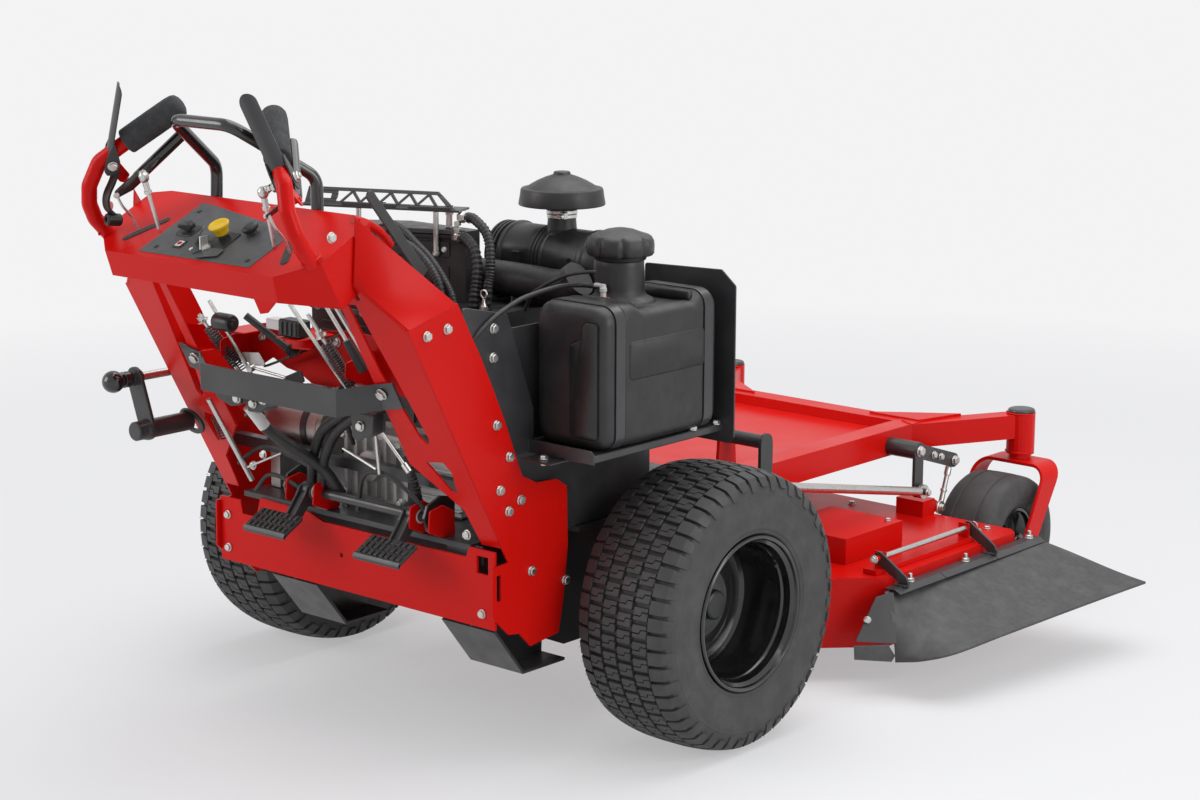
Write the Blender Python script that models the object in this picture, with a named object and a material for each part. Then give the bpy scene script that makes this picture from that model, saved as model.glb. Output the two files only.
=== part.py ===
"""Walk-behind mower with a 52-inch side-discharge deck, built in metres.

X points to the operator's right, Y forward, Z up. The sizes are drawn with the origin on the
ground under the rear axle. The last step moves everything so that the origin is at the bottom
centre of the whole machine.
"""
import math

import bpy
import bmesh
from mathutils import Matrix, Vector

# Clearances
GAP = 0.0003            # between pieces that touch
RUNNING = 0.0003        # round a shaft that turns in a bore

# Drive wheels, 24x9.5-12
WHEEL_SIDES = 32        # tyre and rim share their facets
TYRE_R = 0.305
TYRE_HALF = 0.1205
RIM_R = 0.169
RIM_HALF = 0.1195
RIM_WALL = 0.004
BARREL_R = 0.152
TRACK_HALF = 0.598
DISC_X = -0.030         # inner face of the wheel disc, from the wheel's centre plane

# Front casters, 13x6.5-6
CASTER_R = 0.165
CASTER_HALF = 0.0825
CASTER_SIDES = 24
CASTER_X = 0.470
PIVOT_Y = 1.435
TRAIL = 0.110
PIVOT_TUBE_R = 0.036
SPINDLE_R = 0.018
CASTER_AXLE_R = 0.010
FORK_HALF = 0.1075
FORK_PLATE = 0.009
FORK_TOP = 0.352
PIVOT_TUBE_LOW = 0.365

# Front frame
RAIL_OUT = 0.340
RAIL_W = 0.060
RAIL_TOP = 0.470
RAIL_H = 0.065
RAIL_REAR = -0.400
RAIL_FRONT = 1.200
FLOOR_TOP = 0.443

# Engine frame
DECK_PLATE = 0.0117     # thickness of the plate the engine stands on
SIDE_PLATE = 0.006

# Deck lift
LIFT_Y = 0.420
LIFT_Z = 0.557
LIFT_ARM = 0.100
LIFT_SHAFT_R = 0.016
CRANK_Y = 1.039
CRANK_Z = 0.430
CRANK_PIN_R = 0.012
LINK_Y = 1.195
LINK_Z = 0.380
LINK_LOW = (1.155, 0.264)
LINK_T = 0.008
LINK_R = 0.014
ARM_X = 0.424           # middle of the lift arms and cranks
ARM_T = 0.008
ROD_R = 0.011
ROD_EYE_T = 0.011
ROD_X = ARM_X + ARM_T / 2 + ROD_R + 0.0015
LINK_OUT = ARM_X - ARM_T / 2 - GAP      # outer face of a drop link
LINK_IN = LINK_OUT - LINK_T
ROD_PIN_R = 0.008

# Mower deck
DECK_TOP = 0.250
DECK_LOW = 0.085
DECK_WALL = 0.005
DECK_SIDE = 0.660
SPINDLE_X = 0.420
SPINDLE_Y = 0.700
MID_SPINDLE_Y = 0.898
DECK_FRONT = 1.138
BLADE_LEN = 0.457
BLADE_SHAFT_R = 0.0125
CHUTE_ROD_X = DECK_SIDE - 0.040
CHUTE_TOP = DECK_TOP - 0.018
CHUTE_ROD_Z = DECK_TOP + 0.035
CHUTE_ROD_R = 0.006
CHUTE_ARM_Y = (0.600, 0.970)

# Uprights and bumper
SHEET = 0.005
UPRIGHT_X = 0.425
UPRIGHT_TOP = (-0.7135, 0.968)      # rear edge of the side plate, where the shoulder is folded on
LEAN = 1 / 1.864        # forward run of the leaning panel for each metre down
SPLAY = 0.06            # rearward run of the panel for each metre towards the middle
STRAP_HALF_T = 0.0025
BUMPER_Y = -0.472
BUMPER_T = 0.006
FRAME_REAR = BUMPER_Y + BUMPER_T + GAP

# Control console
CONSOLE_REAR = (-0.900, 1.077)
CONSOLE_SLOPE = 0.505
CONSOLE_T = 0.004
CONSOLE_HALF = 0.3265
APRON_Y = -0.885         # lower edge of the rear apron
SHOULDER_T = 0.0035
SHOULDER_STRIPS = 8
FLANGE_CORNER = (-0.757, 1.182)      # the shoulder's upper corner, on the flange beside the console
HANDLE_FOOT = (0.303, -0.846)

# Handles
HANDLE_R = 0.0160
GRIP_R = 0.0275
GRIP_LOW = Vector((0.229, -0.860, 1.291))
GRIP_TOP = Vector((0.1345, -0.785, 1.3737))
BLADE_PIVOT = Vector((0.259, -0.869, 1.256))
BLADE_TIP = Vector((0.180, -0.894, 1.417))
LEVER_PIVOT = Vector((0.236, -0.848, 1.206))
LEVER_LOW = Vector((0.240, -0.825, 1.215))
LEVER_TOP = Vector((0.155, -0.757, 1.317))
LEVER_TAIL = Vector((0.228, -0.885, 1.192))
LEVER_R = 0.0125
LEVER_PIN_R = 0.005
HANDLE_BENDS = [Vector((0.309, -0.876, 1.134)), Vector((0.306, -0.892, 1.166)), Vector((0.295, -0.899, 1.204)),
                Vector((0.2755, -0.8870, 1.2530))]

# Pedals
PEDAL_Y = -0.470
PEDAL_Z = 0.520
PEDAL_SHAFT_R = 0.011

# Fuel tank
TANK_X = (0.415, 0.605)
TANK_Y = (-0.350, 0.020)
TANK_LOW = 2 * TYRE_R + 0.080       # the tank hangs over the tyre
TANK_Z = (TANK_LOW, TANK_LOW + 0.293)
TANK_CUT = 0.022
STRAP_T = 0.004
NECK = (0.475, -0.150)
NECK_R = 0.050
NECK_TOP = TANK_Z[1] + 0.078

# Engine
SHROUD_LOW = 0.800
SHROUD_TOP = 1.075
GUARD_START = (-0.250, -0.372)
GUARD_TURN = math.radians(23)        # in plan the right end stands further forward
GUARD_LEN = 0.370
GUARD_Z = (1.116, 1.121)
GUARD_TOP = 1.155
CLEANER_R = 0.075
CLEANER_Z = 1.000
CAP_X = 0.180
DUCT_Y = -0.118
DUCT_Z = 0.964
DUCT_R = 0.040

# Lever with the ball knob beside the left upright
LOCK_X = -0.400
LOCK_Z = 0.650
LOCK_PIN_X = -UPRIGHT_X - 0.013       # the rod runs outside the upright
LOCK_PIN_Z = 0.757
LOCK_PIN_R = 0.009
LOCK_SHAFT_R = 0.021
LOCK_ARM_Y = (-0.690, -0.680)

for old in list(bpy.data.objects):
    bpy.data.objects.remove(old)


# Small tools that make closed bodies

def body(bm):
    bmesh.ops.recalc_face_normals(bm, faces=bm.faces)
    mesh = bpy.data.meshes.new("body")
    bm.to_mesh(mesh)
    bm.free()
    made = bpy.data.objects.new("body", mesh)
    bpy.context.scene.collection.objects.link(made)
    return made


def slab(points, push):
    """Closed plate: the outline through points, thickened by the vector push."""
    bm = bmesh.new()
    push = Vector(push)
    near = [bm.verts.new(Vector(p)) for p in points]
    far = [bm.verts.new(Vector(p) + push) for p in points]
    bm.faces.new(near)
    bm.faces.new(far)
    count = len(points)
    for i in range(count):
        j = (i + 1) % count
        bm.faces.new((near[i], near[j], far[j], far[i]))
    bmesh.ops.recalc_face_normals(bm, faces=bm.faces)
    bmesh.ops.triangulate(bm, faces=[f for f in bm.faces if len(f.verts) > 4])
    return body(bm)


def prism(outline, axis, low, high):
    """Closed prism over a flat outline, between two planes across the axis."""
    if axis == "x":
        points = [(low, a, b) for a, b in outline]
        push = (high - low, 0, 0)
    elif axis == "y":
        points = [(a, low, b) for a, b in outline]
        push = (0, high - low, 0)
    else:
        points = [(a, b, low) for a, b in outline]
        push = (0, 0, high - low)
    return slab(points, push)


def box(xs, ys, zs):
    return prism(((xs[0], ys[0]), (xs[1], ys[0]), (xs[1], ys[1]), (xs[0], ys[1])), "z", zs[0], zs[1])


def turned(profile, centre, axis=(1, 0, 0), segments=24):
    """Revolved body. The profile is (distance along the axis, radius), closed at the poles or as a ring."""
    axis = Vector(axis).normalized()
    side = Vector((0, 1, 0)) if abs(axis.z) > 0.9 else Vector((0, 0, 1))
    side = (side - axis * side.dot(axis)).normalized()
    up = axis.cross(side)
    centre = Vector(centre)
    bm = bmesh.new()
    rings = []
    for along, radius in profile:
        if radius == 0:
            rings.append([bm.verts.new(centre + axis * along)])
            continue
        ring = []
        for k in range(segments):
            turn = 2 * math.pi * (k + 0.5) / segments       # a flat, not an edge, faces down
            ring.append(bm.verts.new(centre + axis * along + (side * math.cos(turn) + up * math.sin(turn)) * radius))
        rings.append(ring)
    pairs = list(zip(rings, rings[1:]))
    if profile[0][1] != 0:
        pairs.append((rings[-1], rings[0]))
    for first, second in pairs:
        for k in range(segments):
            m = (k + 1) % segments
            corners = []
            for v in (first[k % len(first)], first[m % len(first)], second[m % len(second)], second[k % len(second)]):
                if v not in corners:
                    corners.append(v)
            bm.faces.new(corners)
    return body(bm)


def rod(start, end, radius, segments=16):
    start = Vector(start)
    end = Vector(end)
    length = (end - start).length
    return turned(((0, 0), (0, radius), (length, radius), (length, 0)), start, end - start, segments)


def hole(start, end, radius, segments=16):
    """Cutter whose flats stay outside the radius, so that a round shaft clears them."""
    return rod(start, end, radius / math.cos(math.pi / segments), segments)


def rounded(path, radius, steps=4):
    """Path with its corners replaced by arcs."""
    path = [Vector(p) for p in path]
    out = [path[0]]
    for before, corner, after in zip(path, path[1:], path[2:]):
        a = (before - corner).normalized()
        b = (after - corner).normalized()
        half = a.angle(b) / 2
        back = min(radius / math.tan(half), 0.45 * (before - corner).length, 0.45 * (after - corner).length)
        for i in range(steps + 1):
            t = i / steps
            out.append((corner + a * back) * (1 - t) ** 2 + corner * 2 * t * (1 - t) + (corner + b * back) * t ** 2)
    out.append(path[-1])
    return out


def tube(path, radius, segments=12):
    """Closed round bar swept along a path."""
    path = [Vector(p) for p in path]
    bm = bmesh.new()
    side = (path[1] - path[0]).orthogonal().normalized()
    rings = []
    for i, point in enumerate(path):
        ahead = (path[min(i + 1, len(path) - 1)] - point)
        behind = (point - path[max(i - 1, 0)])
        along = (ahead.normalized() + behind.normalized()).normalized()
        side = (side - along * side.dot(along)).normalized()
        up = along.cross(side)
        ring = []
        for k in range(segments):
            turn = 2 * math.pi * k / segments
            ring.append(bm.verts.new(point + (side * math.cos(turn) + up * math.sin(turn)) * radius))
        rings.append(ring)
    for first, second in zip(rings, rings[1:]):
        for k in range(segments):
            m = (k + 1) % segments
            bm.faces.new((first[k], first[m], second[m], second[k]))
    bm.faces.new(rings[0])
    bm.faces.new(rings[-1])
    return body(bm)


def combine(base, adds=(), cuts=()):
    """One closed body: base with the adds welded on and the cuts taken away."""
    for operation, tools in (("UNION", adds), ("DIFFERENCE", cuts)):
        for tool in tools:
            step = base.modifiers.new("step", "BOOLEAN")
            step.operation = operation
            step.solver = "EXACT"
            step.object = tool
    graph = bpy.context.evaluated_depsgraph_get()
    mesh = bpy.data.meshes.new_from_object(base.evaluated_get(graph))
    made = bpy.data.objects.new("body", mesh)
    bpy.context.scene.collection.objects.link(made)
    for used in [base, *adds, *cuts]:
        bpy.data.objects.remove(used)
    return made


def paint(name, colour, metallic, roughness):
    made = bpy.data.materials.new(name)
    made.use_nodes = True
    surface = made.node_tree.nodes["Principled BSDF"]
    surface.inputs["Base Color"].default_value = (*colour, 1)
    surface.inputs["Metallic"].default_value = metallic
    surface.inputs["Roughness"].default_value = roughness
    return made


RED = paint("red_paint", (0.55, 0.01, 0.015), 0.0, 0.3)
BLACK = paint("black_paint", (0.015, 0.015, 0.016), 0.0, 0.4)
RUBBER = paint("rubber", (0.02, 0.02, 0.02), 0.0, 0.75)
FOAM = paint("foam", (0.025, 0.025, 0.025), 0.0, 0.9)
PLASTIC = paint("black_plastic", (0.02, 0.02, 0.022), 0.0, 0.5)
STEEL = paint("zinc_steel", (0.6, 0.6, 0.58), 1.0, 0.35)
CASTING = paint("cast_aluminium", (0.55, 0.55, 0.55), 0.9, 0.5)
YELLOW = paint("yellow_plastic", (0.8, 0.5, 0.02), 0.0, 0.4)

PARTS = []


def part(name, made, material, origin=(0, 0, 0)):
    """Name the body, give it its material and put its origin on its joint axis."""
    made.name = name
    made.data.name = name
    made.data.materials.clear()
    made.data.materials.append(material)
    made.data.transform(Matrix.Translation(-Vector(origin)))
    made.location = Vector(origin)
    for face in made.data.polygons:
        face.use_smooth = True
        face.material_index = 0
    made.data.set_sharp_from_angle(angle=math.radians(32))
    PARTS.append(made)
    return made


def both(points):
    """Outline of one half, given from the rear centre to the front centre, with its mirror image."""
    return list(points) + [(-x, y) for x, y in reversed(points)]


def console_z(y):
    return CONSOLE_REAR[1] + (y - CONSOLE_REAR[0]) * CONSOLE_SLOPE


CONSOLE_NORMAL = Vector((0, -CONSOLE_SLOPE, 1)).normalized()
GRIP_DIR = (GRIP_TOP - GRIP_LOW).normalized()
BLADE_DIR = (BLADE_TIP - BLADE_PIVOT).normalized()
BLADE_AXIS = BLADE_DIR.cross(GRIP_DIR).normalized()


def sided(v, side):
    return Vector((v[0] * side, v[1], v[2]))


# Wheels

def drive_wheel(name, side):
    x = side * TRACK_HALF
    bead = RIM_HALF - RIM_WALL - GAP
    half = [(bead, BARREL_R + GAP), (bead, RIM_R + 0.006), (TYRE_HALF - 0.002, RIM_R + 0.020),
            (TYRE_HALF, RIM_R + 0.055), (TYRE_HALF - 0.005, TYRE_R - 0.040), (TYRE_HALF - 0.018, TYRE_R - 0.013),
            (TYRE_HALF - 0.045, TYRE_R - 0.003), (TYRE_HALF - 0.085, TYRE_R)]
    tyre = turned(half + [(-a, r) for a, r in reversed(half)], (x, 0, TYRE_R), (side, 0, 0), WHEEL_SIDES)
    part("drive_tyre_" + name, tyre, RUBBER, (x, 0, TYRE_R))
    inner = BARREL_R - RIM_WALL
    disc = DISC_X
    rim = [(disc, 0), (disc, inner), (-RIM_HALF, inner), (-RIM_HALF, RIM_R), (-RIM_HALF + RIM_WALL, RIM_R),
           (-RIM_HALF + RIM_WALL, BARREL_R), (RIM_HALF - RIM_WALL, BARREL_R), (RIM_HALF - RIM_WALL, RIM_R),
           (RIM_HALF, RIM_R), (RIM_HALF, inner), (disc + 0.006, inner), (disc + 0.006, 0.060),
           (disc + 0.016, 0.045), (disc + 0.016, 0.030), (disc + 0.050, 0.028), (disc + 0.055, 0)]
    part("drive_rim_" + name, turned(rim, (x, 0, TYRE_R), (side, 0, 0), WHEEL_SIDES), BLACK, (x, 0, TYRE_R))
    start = RAIL_OUT + GAP + SIDE_PLATE + GAP
    end = TRACK_HALF + disc - GAP
    motor = [(start, 0), (start, 0.075), (start + 0.014, 0.075), (start + 0.014, 0.055), (start + 0.105, 0.055),
             (start + 0.105, 0.090), (start + 0.150, 0.090), (start + 0.150, 0.035), (end, 0.035), (end, 0)]
    part("wheel_motor_" + name, turned(motor, (0, 0, TYRE_R), (side, 0, 0), 24), CASTING)


def caster(name, side):
    x = side * CASTER_X
    y = PIVOT_Y - TRAIL
    bore = (CASTER_AXLE_R + RUNNING) / math.cos(math.pi / CASTER_SIDES)
    hub = FORK_HALF - FORK_PLATE - GAP
    half = [(hub, bore), (hub, 0.026), (0.050, 0.028), (0.050, 0.072), (CASTER_HALF - 0.022, 0.078),
            (CASTER_HALF - 0.004, 0.096), (CASTER_HALF, 0.125), (CASTER_HALF - 0.006, 0.148),
            (CASTER_HALF - 0.022, CASTER_R - 0.004), (CASTER_HALF - 0.045, CASTER_R)]
    wheel = turned(half + [(-a, r) for a, r in reversed(half)], (x, y, CASTER_R), (1, 0, 0), CASTER_SIDES)
    part("caster_wheel_" + name, wheel, RUBBER, (x, y, CASTER_R))
    inner = FORK_HALF - FORK_PLATE
    bridge = box((x - FORK_HALF, x + FORK_HALF), (PIVOT_Y - 0.045, PIVOT_Y + 0.040), (FORK_TOP - 0.012, FORK_TOP))
    leg = [(PIVOT_Y + 0.036, FORK_TOP), (PIVOT_Y - 0.042, FORK_TOP), (y - 0.026, CASTER_R + 0.012),
           (y - 0.024, CASTER_R - 0.012), (y - 0.009, CASTER_R - 0.025), (y + 0.011, CASTER_R - 0.024),
           (y + 0.026, CASTER_R - 0.008)]
    legs = []
    for face in (-1, 1):
        legs.append(prism(leg, "x", x + face * inner, x + face * FORK_HALF))
        legs.append(rod((x + face * (FORK_HALF - 0.004), y, CASTER_R), (x + face * (FORK_HALF + 0.010), y, CASTER_R),
                        0.017, 6))
    axle = rod((x - inner - 0.004, y, CASTER_R), (x + inner + 0.004, y, CASTER_R), CASTER_AXLE_R, 16)
    post = turned(((FORK_TOP - 0.004, 0), (FORK_TOP - 0.004, 0.028), (PIVOT_TUBE_LOW - GAP, 0.028),
                   (PIVOT_TUBE_LOW - GAP, SPINDLE_R), (RAIL_TOP + 0.002 + GAP, SPINDLE_R),
                   (RAIL_TOP + 0.002 + GAP, 0.033), (RAIL_TOP + 0.009, 0.030), (RAIL_TOP + 0.011, 0)),
                  (x, PIVOT_Y, 0), (0, 0, 1), 20)
    part("caster_fork_" + name, combine(bridge, [*legs, axle, post]), RED, (x, PIVOT_Y, FORK_TOP))


# Frames

def front_frame():
    low = RAIL_TOP - RAIL_H
    rail = box((RAIL_OUT - RAIL_W, RAIL_OUT), (RAIL_REAR, RAIL_FRONT), (low, RAIL_TOP))
    adds = [box((-RAIL_OUT, -RAIL_OUT + RAIL_W), (RAIL_REAR, RAIL_FRONT), (low, RAIL_TOP)),
            box((-RAIL_OUT + 0.01, RAIL_OUT - 0.01), (1.140, RAIL_FRONT - 0.001), (low + 0.001, RAIL_TOP - 0.001)),
            box((-RAIL_OUT + RAIL_W - 0.01, RAIL_OUT - RAIL_W + 0.01), (0.345, 1.150), (FLOOR_TOP - 0.006, FLOOR_TOP))]
    cuts = []
    for side in (-1, 1):
        x = side * CASTER_X
        arm = [(side * 0.285, 1.150), (side * 0.338, 1.130), (x + side * 0.015, PIVOT_Y - 0.015),
               (x - side * 0.025, PIVOT_Y + 0.016)]
        adds.append(prism(arm, "z", low + 0.002, RAIL_TOP - 0.002))
        adds.append(rod((x, PIVOT_Y, PIVOT_TUBE_LOW), (x, PIVOT_Y, RAIL_TOP + 0.002), PIVOT_TUBE_R, 24))
        cuts.append(hole((x, PIVOT_Y, low - 0.1), (x, PIVOT_Y, RAIL_TOP + 0.1), SPINDLE_R + RUNNING, 20))
        gusset = [(side * 0.184, RAIL_FRONT - 0.030), (side * 0.373, 1.304), (side * 0.335, RAIL_FRONT - 0.030)]
        adds.append(prism(gusset, "z", RAIL_TOP - 0.003, RAIL_TOP + 0.004))
        bracket = [(LIFT_Y - 0.035, RAIL_TOP - 0.004), (LIFT_Y + 0.035, RAIL_TOP - 0.004),
                   (LIFT_Y + 0.026, LIFT_Z + 0.018), (LIFT_Y, LIFT_Z + 0.028), (LIFT_Y - 0.026, LIFT_Z + 0.018)]
        adds.append(prism(bracket, "x", side * 0.306, side * 0.314))
        adds.append(rod((side * (RAIL_OUT - 0.01), CRANK_Y, CRANK_Z), (side * (ARM_X + ARM_T / 2), CRANK_Y, CRANK_Z),
                        CRANK_PIN_R, 16))
    cuts.append(hole((-0.4, LIFT_Y, LIFT_Z), (0.4, LIFT_Y, LIFT_Z), LIFT_SHAFT_R + RUNNING, 20))
    part("front_frame", combine(rail, adds, cuts), RED)


def engine_frame():
    low = RAIL_TOP + GAP
    top = low + DECK_PLATE
    out = RAIL_OUT + GAP + SIDE_PLATE
    wide = 0.415
    outline = both([(out, FRAME_REAR), (out, -0.220), (wide, -0.210), (wide, 0.060), (out, 0.070), (out, 0.340)])
    plate = prism(outline, "z", low, top)
    adds = []
    guard = [(FRAME_REAR, 0.308), (-0.380, 0.200), (-0.250, 0.200), (-0.250, 0.206), (-0.377, 0.206),
             (FRAME_REAR + 0.006, 0.311)]
    web = [(FRAME_REAR + 0.003, 0.305), (-0.379, 0.203), (-0.251, 0.203), (-0.235, low + 0.004),
           (FRAME_REAR + 0.003, low + 0.004)]
    for side, near, far in ((-1, 0.117, 0.260), (1, 0.262, 0.412)):
        adds.append(prism(guard, "x", side * near, side * far))
        middle = (near + far) / 2 if side < 0 else out - SIDE_PLATE / 2
        adds.append(prism(web, "x", side * (middle - SIDE_PLATE / 2), side * (middle + SIDE_PLATE / 2)))
    for side in (-1, 1):
        cheek = [(-0.260, 0.240), (-0.180, 0.205), (0.180, 0.205), (0.250, 0.280), (0.250, low + 0.004),
                 (-0.260, low + 0.004)]
        adds.append(prism(cheek, "x", side * (out - SIDE_PLATE), side * out))
        ear = [(-0.405, top - 0.004), (-0.405, 0.555), (-0.445, 0.565), (-0.485, 0.550), (-0.495, 0.525),
               (-0.485, 0.495), (-0.440, top - 0.004)]
        inner = 0.180 if side < 0 else 0.238
        adds.append(prism(ear, "x", side * inner, side * (inner + SIDE_PLATE)))
    adds.append(rod((-0.183, PEDAL_Y, PEDAL_Z), (0.241, PEDAL_Y, PEDAL_Z), PEDAL_SHAFT_R, 16))
    part("engine_frame", combine(plate, adds), BLACK)


def lean_y(x, z):
    """Rear face of the leaning panel of an upright."""
    return UPRIGHT_TOP[0] + (UPRIGHT_TOP[1] - z) * LEAN - (UPRIGHT_X - x) * SPLAY


def shoulder(side, mid, seat):
    """The bent sheet between side plate and console: straight lines from its fold to its upper edge."""
    fold = (Vector((side * mid, UPRIGHT_TOP[0] + 0.001, UPRIGHT_TOP[1] - 0.001)), Vector((side * seat, -0.766, 1.055)))
    edge = (Vector((side * mid, -0.579, 1.004)), Vector((side * seat, *FLANGE_CORNER)))
    inward = Vector((-side * SHOULDER_T, 0, -SHOULDER_T))
    bm = bmesh.new()
    rings = []
    for k in range(SHOULDER_STRIPS + 1):
        share = k / SHOULDER_STRIPS
        low = fold[0].lerp(fold[1], share)
        high = edge[0].lerp(edge[1], share)
        rings.append([bm.verts.new(p) for p in (low, high, high + inward, low + inward)])
    for near, far in zip(rings, rings[1:]):
        for i in range(4):
            j = (i + 1) % 4
            bm.faces.new((near[i], near[j], far[j], far[i]))
    bm.faces.new(rings[0])
    bm.faces.new(rings[-1])
    bmesh.ops.triangulate(bm, faces=bm.faces)
    return body(bm)


def upright(name, side):
    inner = UPRIGHT_X - SHEET
    outline = [UPRIGHT_TOP, (-0.578, 1.006), (-0.545, 0.945), (-0.512, 0.887), (-0.478, 0.819), (-0.443, 0.745),
               (-0.394, 0.627), (-0.350, 0.605), (-0.290, 0.602), (-0.258, 0.581), (-0.255, 0.455), (-0.268, 0.342), (-0.284, 0.271),
               (-0.370, 0.261), (-0.405, 0.296), (-0.436, 0.300), (-0.484, 0.347), (-0.482, 0.450), (-0.436, 0.453)]
    plate = prism(outline, "x", side * inner, side * UPRIGHT_X)
    mid = UPRIGHT_X - SHEET / 2
    wall = CONSOLE_HALF - CONSOLE_T - 0.003
    seat = CONSOLE_HALF + GAP + SHOULDER_T
    lean = [(0.268, 1.035), (0.264, 0.656), (0.363, 0.566), (0.372, 0.486), (mid, 0.486), (mid, UPRIGHT_TOP[1] - 0.001),
            (seat, 1.054), (seat, 1.020), (wall, 1.020), (wall, 1.035)]
    panel = slab([(side * x, lean_y(x, z), z) for x, z in lean], (0, SHEET, 0))
    ear = shoulder(side, mid, seat)
    flange = [(-0.766, 1.058), FLANGE_CORNER, (-0.790, 1.190), (-0.868, 1.190), (-0.884, 1.170), (-0.850, 1.095),
              (-0.835, 1.058)]
    ear = combine(ear, [prism(flange, "x", side * (seat - SHOULDER_T), side * seat)])
    slot = [(0.290, 1.010), (0.312, 1.010), (0.352, 0.724), (0.342, 0.710), (0.329, 0.724), (0.297, 0.862)]
    window = [(0.315, 0.667), (0.362, 0.674), (0.375, 0.652), (0.365, 0.602), (0.351, 0.608)]
    cuts = [prism([(side * x, z) for x, z in slot], "y", -0.9, -0.3),
            prism([(side * x, z) for x, z in window], "y", -0.9, -0.3),
            box((side * 0.40, side * 0.45), (-0.471, -0.459), (0.377, 0.432))]
    part("upright_" + name, combine(plate, [panel, ear], cuts), RED)


def rear_bumper():
    end = UPRIGHT_X - SHEET - GAP
    outline = [(-end, 0.315), (end, 0.315), (end, 0.480), (0.349, 0.480), (0.339, 0.457), (-0.085, 0.457),
               (-0.131, 0.471), (-0.287, 0.475), (-0.301, 0.430), (-0.346, 0.430), (-0.353, 0.460), (-end, 0.460)]
    plate = prism(outline, "y", BUMPER_Y, BUMPER_Y + BUMPER_T)
    cuts = [box((-0.0345, -0.0255), (-0.5, -0.4), (0.389, 0.398)),
            box((0.370, 0.402), (-0.5, -0.4), (0.429, 0.466))]
    part("rear_bumper", combine(plate, [], cuts), RED)


def cross_pieces():
    half = STRAP_HALF_T
    bm = bmesh.new()
    rings = []
    for x in (-0.322, -0.262, -0.205, 0.205, 0.262, 0.322):
        low = 0.765 + 0.024 * (abs(x) - 0.205) / 0.117
        columns = []
        for z in (low, low + 0.0565):
            seat = lean_y(abs(x), z) - GAP - half if abs(x) > 0.25 else -0.697
            columns.append((seat, z))
        (y0, z0), (y1, z1) = columns
        rings.append([bm.verts.new(p) for p in ((x, y0 - half, z0), (x, y1 - half, z1), (x, y1 + half, z1),
                                                (x, y0 + half, z0))])
    for near, far in zip(rings, rings[1:]):
        for i in range(4):
            j = (i + 1) % 4
            bm.faces.new((near[i], near[j], far[j], far[i]))
    bm.faces.new(rings[0])
    bm.faces.new(rings[-1])
    bmesh.ops.triangulate(bm, faces=bm.faces)
    part("cross_strap", body(bm), BLACK)
    bar = box((-(UPRIGHT_X - SHEET - GAP), 0.360), (-0.4325, -0.4075), (0.5725, 0.5975))
    part("cross_bar", bar, BLACK)


# Mower deck and its lift

def deck_outline(inset):
    side = DECK_SIDE - inset
    return both([(0.520, 0.440 + inset), (side, 0.580), (side, 1.115), (0.635, DECK_FRONT - inset)])


def mower_deck():
    shell = prism(deck_outline(0), "z", DECK_LOW, DECK_TOP)
    hollow = prism(deck_outline(DECK_WALL), "z", DECK_LOW - 0.05, DECK_TOP - DECK_WALL)
    mouth = box((DECK_SIDE - 0.05, DECK_SIDE + 0.05), (0.610, 1.000), (DECK_LOW - 0.05, DECK_TOP - 0.030))
    adds = []
    cuts = [hollow, mouth]
    for x, y in ((-SPINDLE_X, SPINDLE_Y), (0, MID_SPINDLE_Y), (SPINDLE_X, SPINDLE_Y)):
        adds.append(rod((x, y, DECK_TOP - 0.055), (x, y, DECK_TOP + 0.028), 0.042, 20))
        cuts.append(hole((x, y, DECK_TOP - 0.2), (x, y, DECK_TOP + 0.1), BLADE_SHAFT_R + RUNNING))
    for side in (-1, 1):
        hanger = LINK_IN - GAP
        adds.append(box((side * (hanger - 0.080), side * hanger), (1.085, 1.137), (DECK_TOP - 0.002, 0.290)))
        adds.append(rod((side * (hanger - 0.02), 1.135, 0.270), (side * hanger, 1.135, 0.270), 0.017, 16))
        adds.append(box((side * 0.290, side * 0.300), (0.470, 0.540), (DECK_TOP - 0.002, 0.310)))
    made = combine(combine(shell, [], cuts[:2]), adds, cuts[2:])
    part("deck_shell", made, RED, (0, SPINDLE_Y, DECK_TOP))
    for name, x, y in (("left", -SPINDLE_X, SPINDLE_Y), ("middle", 0, MID_SPINDLE_Y), ("right", SPINDLE_X, SPINDLE_Y)):
        blade_low = DECK_LOW + 0.030
        post = rod((x, y, blade_low - 0.006), (x, y, DECK_TOP + 0.050), BLADE_SHAFT_R, 16)
        half = BLADE_LEN / 2
        bar = box((x - half, x + half), (y - 0.030, y + 0.030), (blade_low, blade_low + 0.006))
        pulley = rod((x, y, DECK_TOP + 0.028 + GAP), (x, y, DECK_TOP + 0.046), 0.065, 24)
        part("spindle_blade_" + name, combine(post, [bar, pulley]), BLACK, (x, y, DECK_TOP))
    for name, side in (("left", -1), ("right", 1)):
        xs = (side * 0.315, side * 0.525)
        cover = box(xs, (0.600, 0.830), (DECK_TOP + GAP, DECK_TOP + 0.062))
        inside = box((xs[0] + side * 0.003, xs[1] - side * 0.003), (0.603, 0.827), (DECK_TOP - 0.01, DECK_TOP + 0.059))
        part("belt_cover_" + name, combine(cover, [], [inside]), RED)


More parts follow.
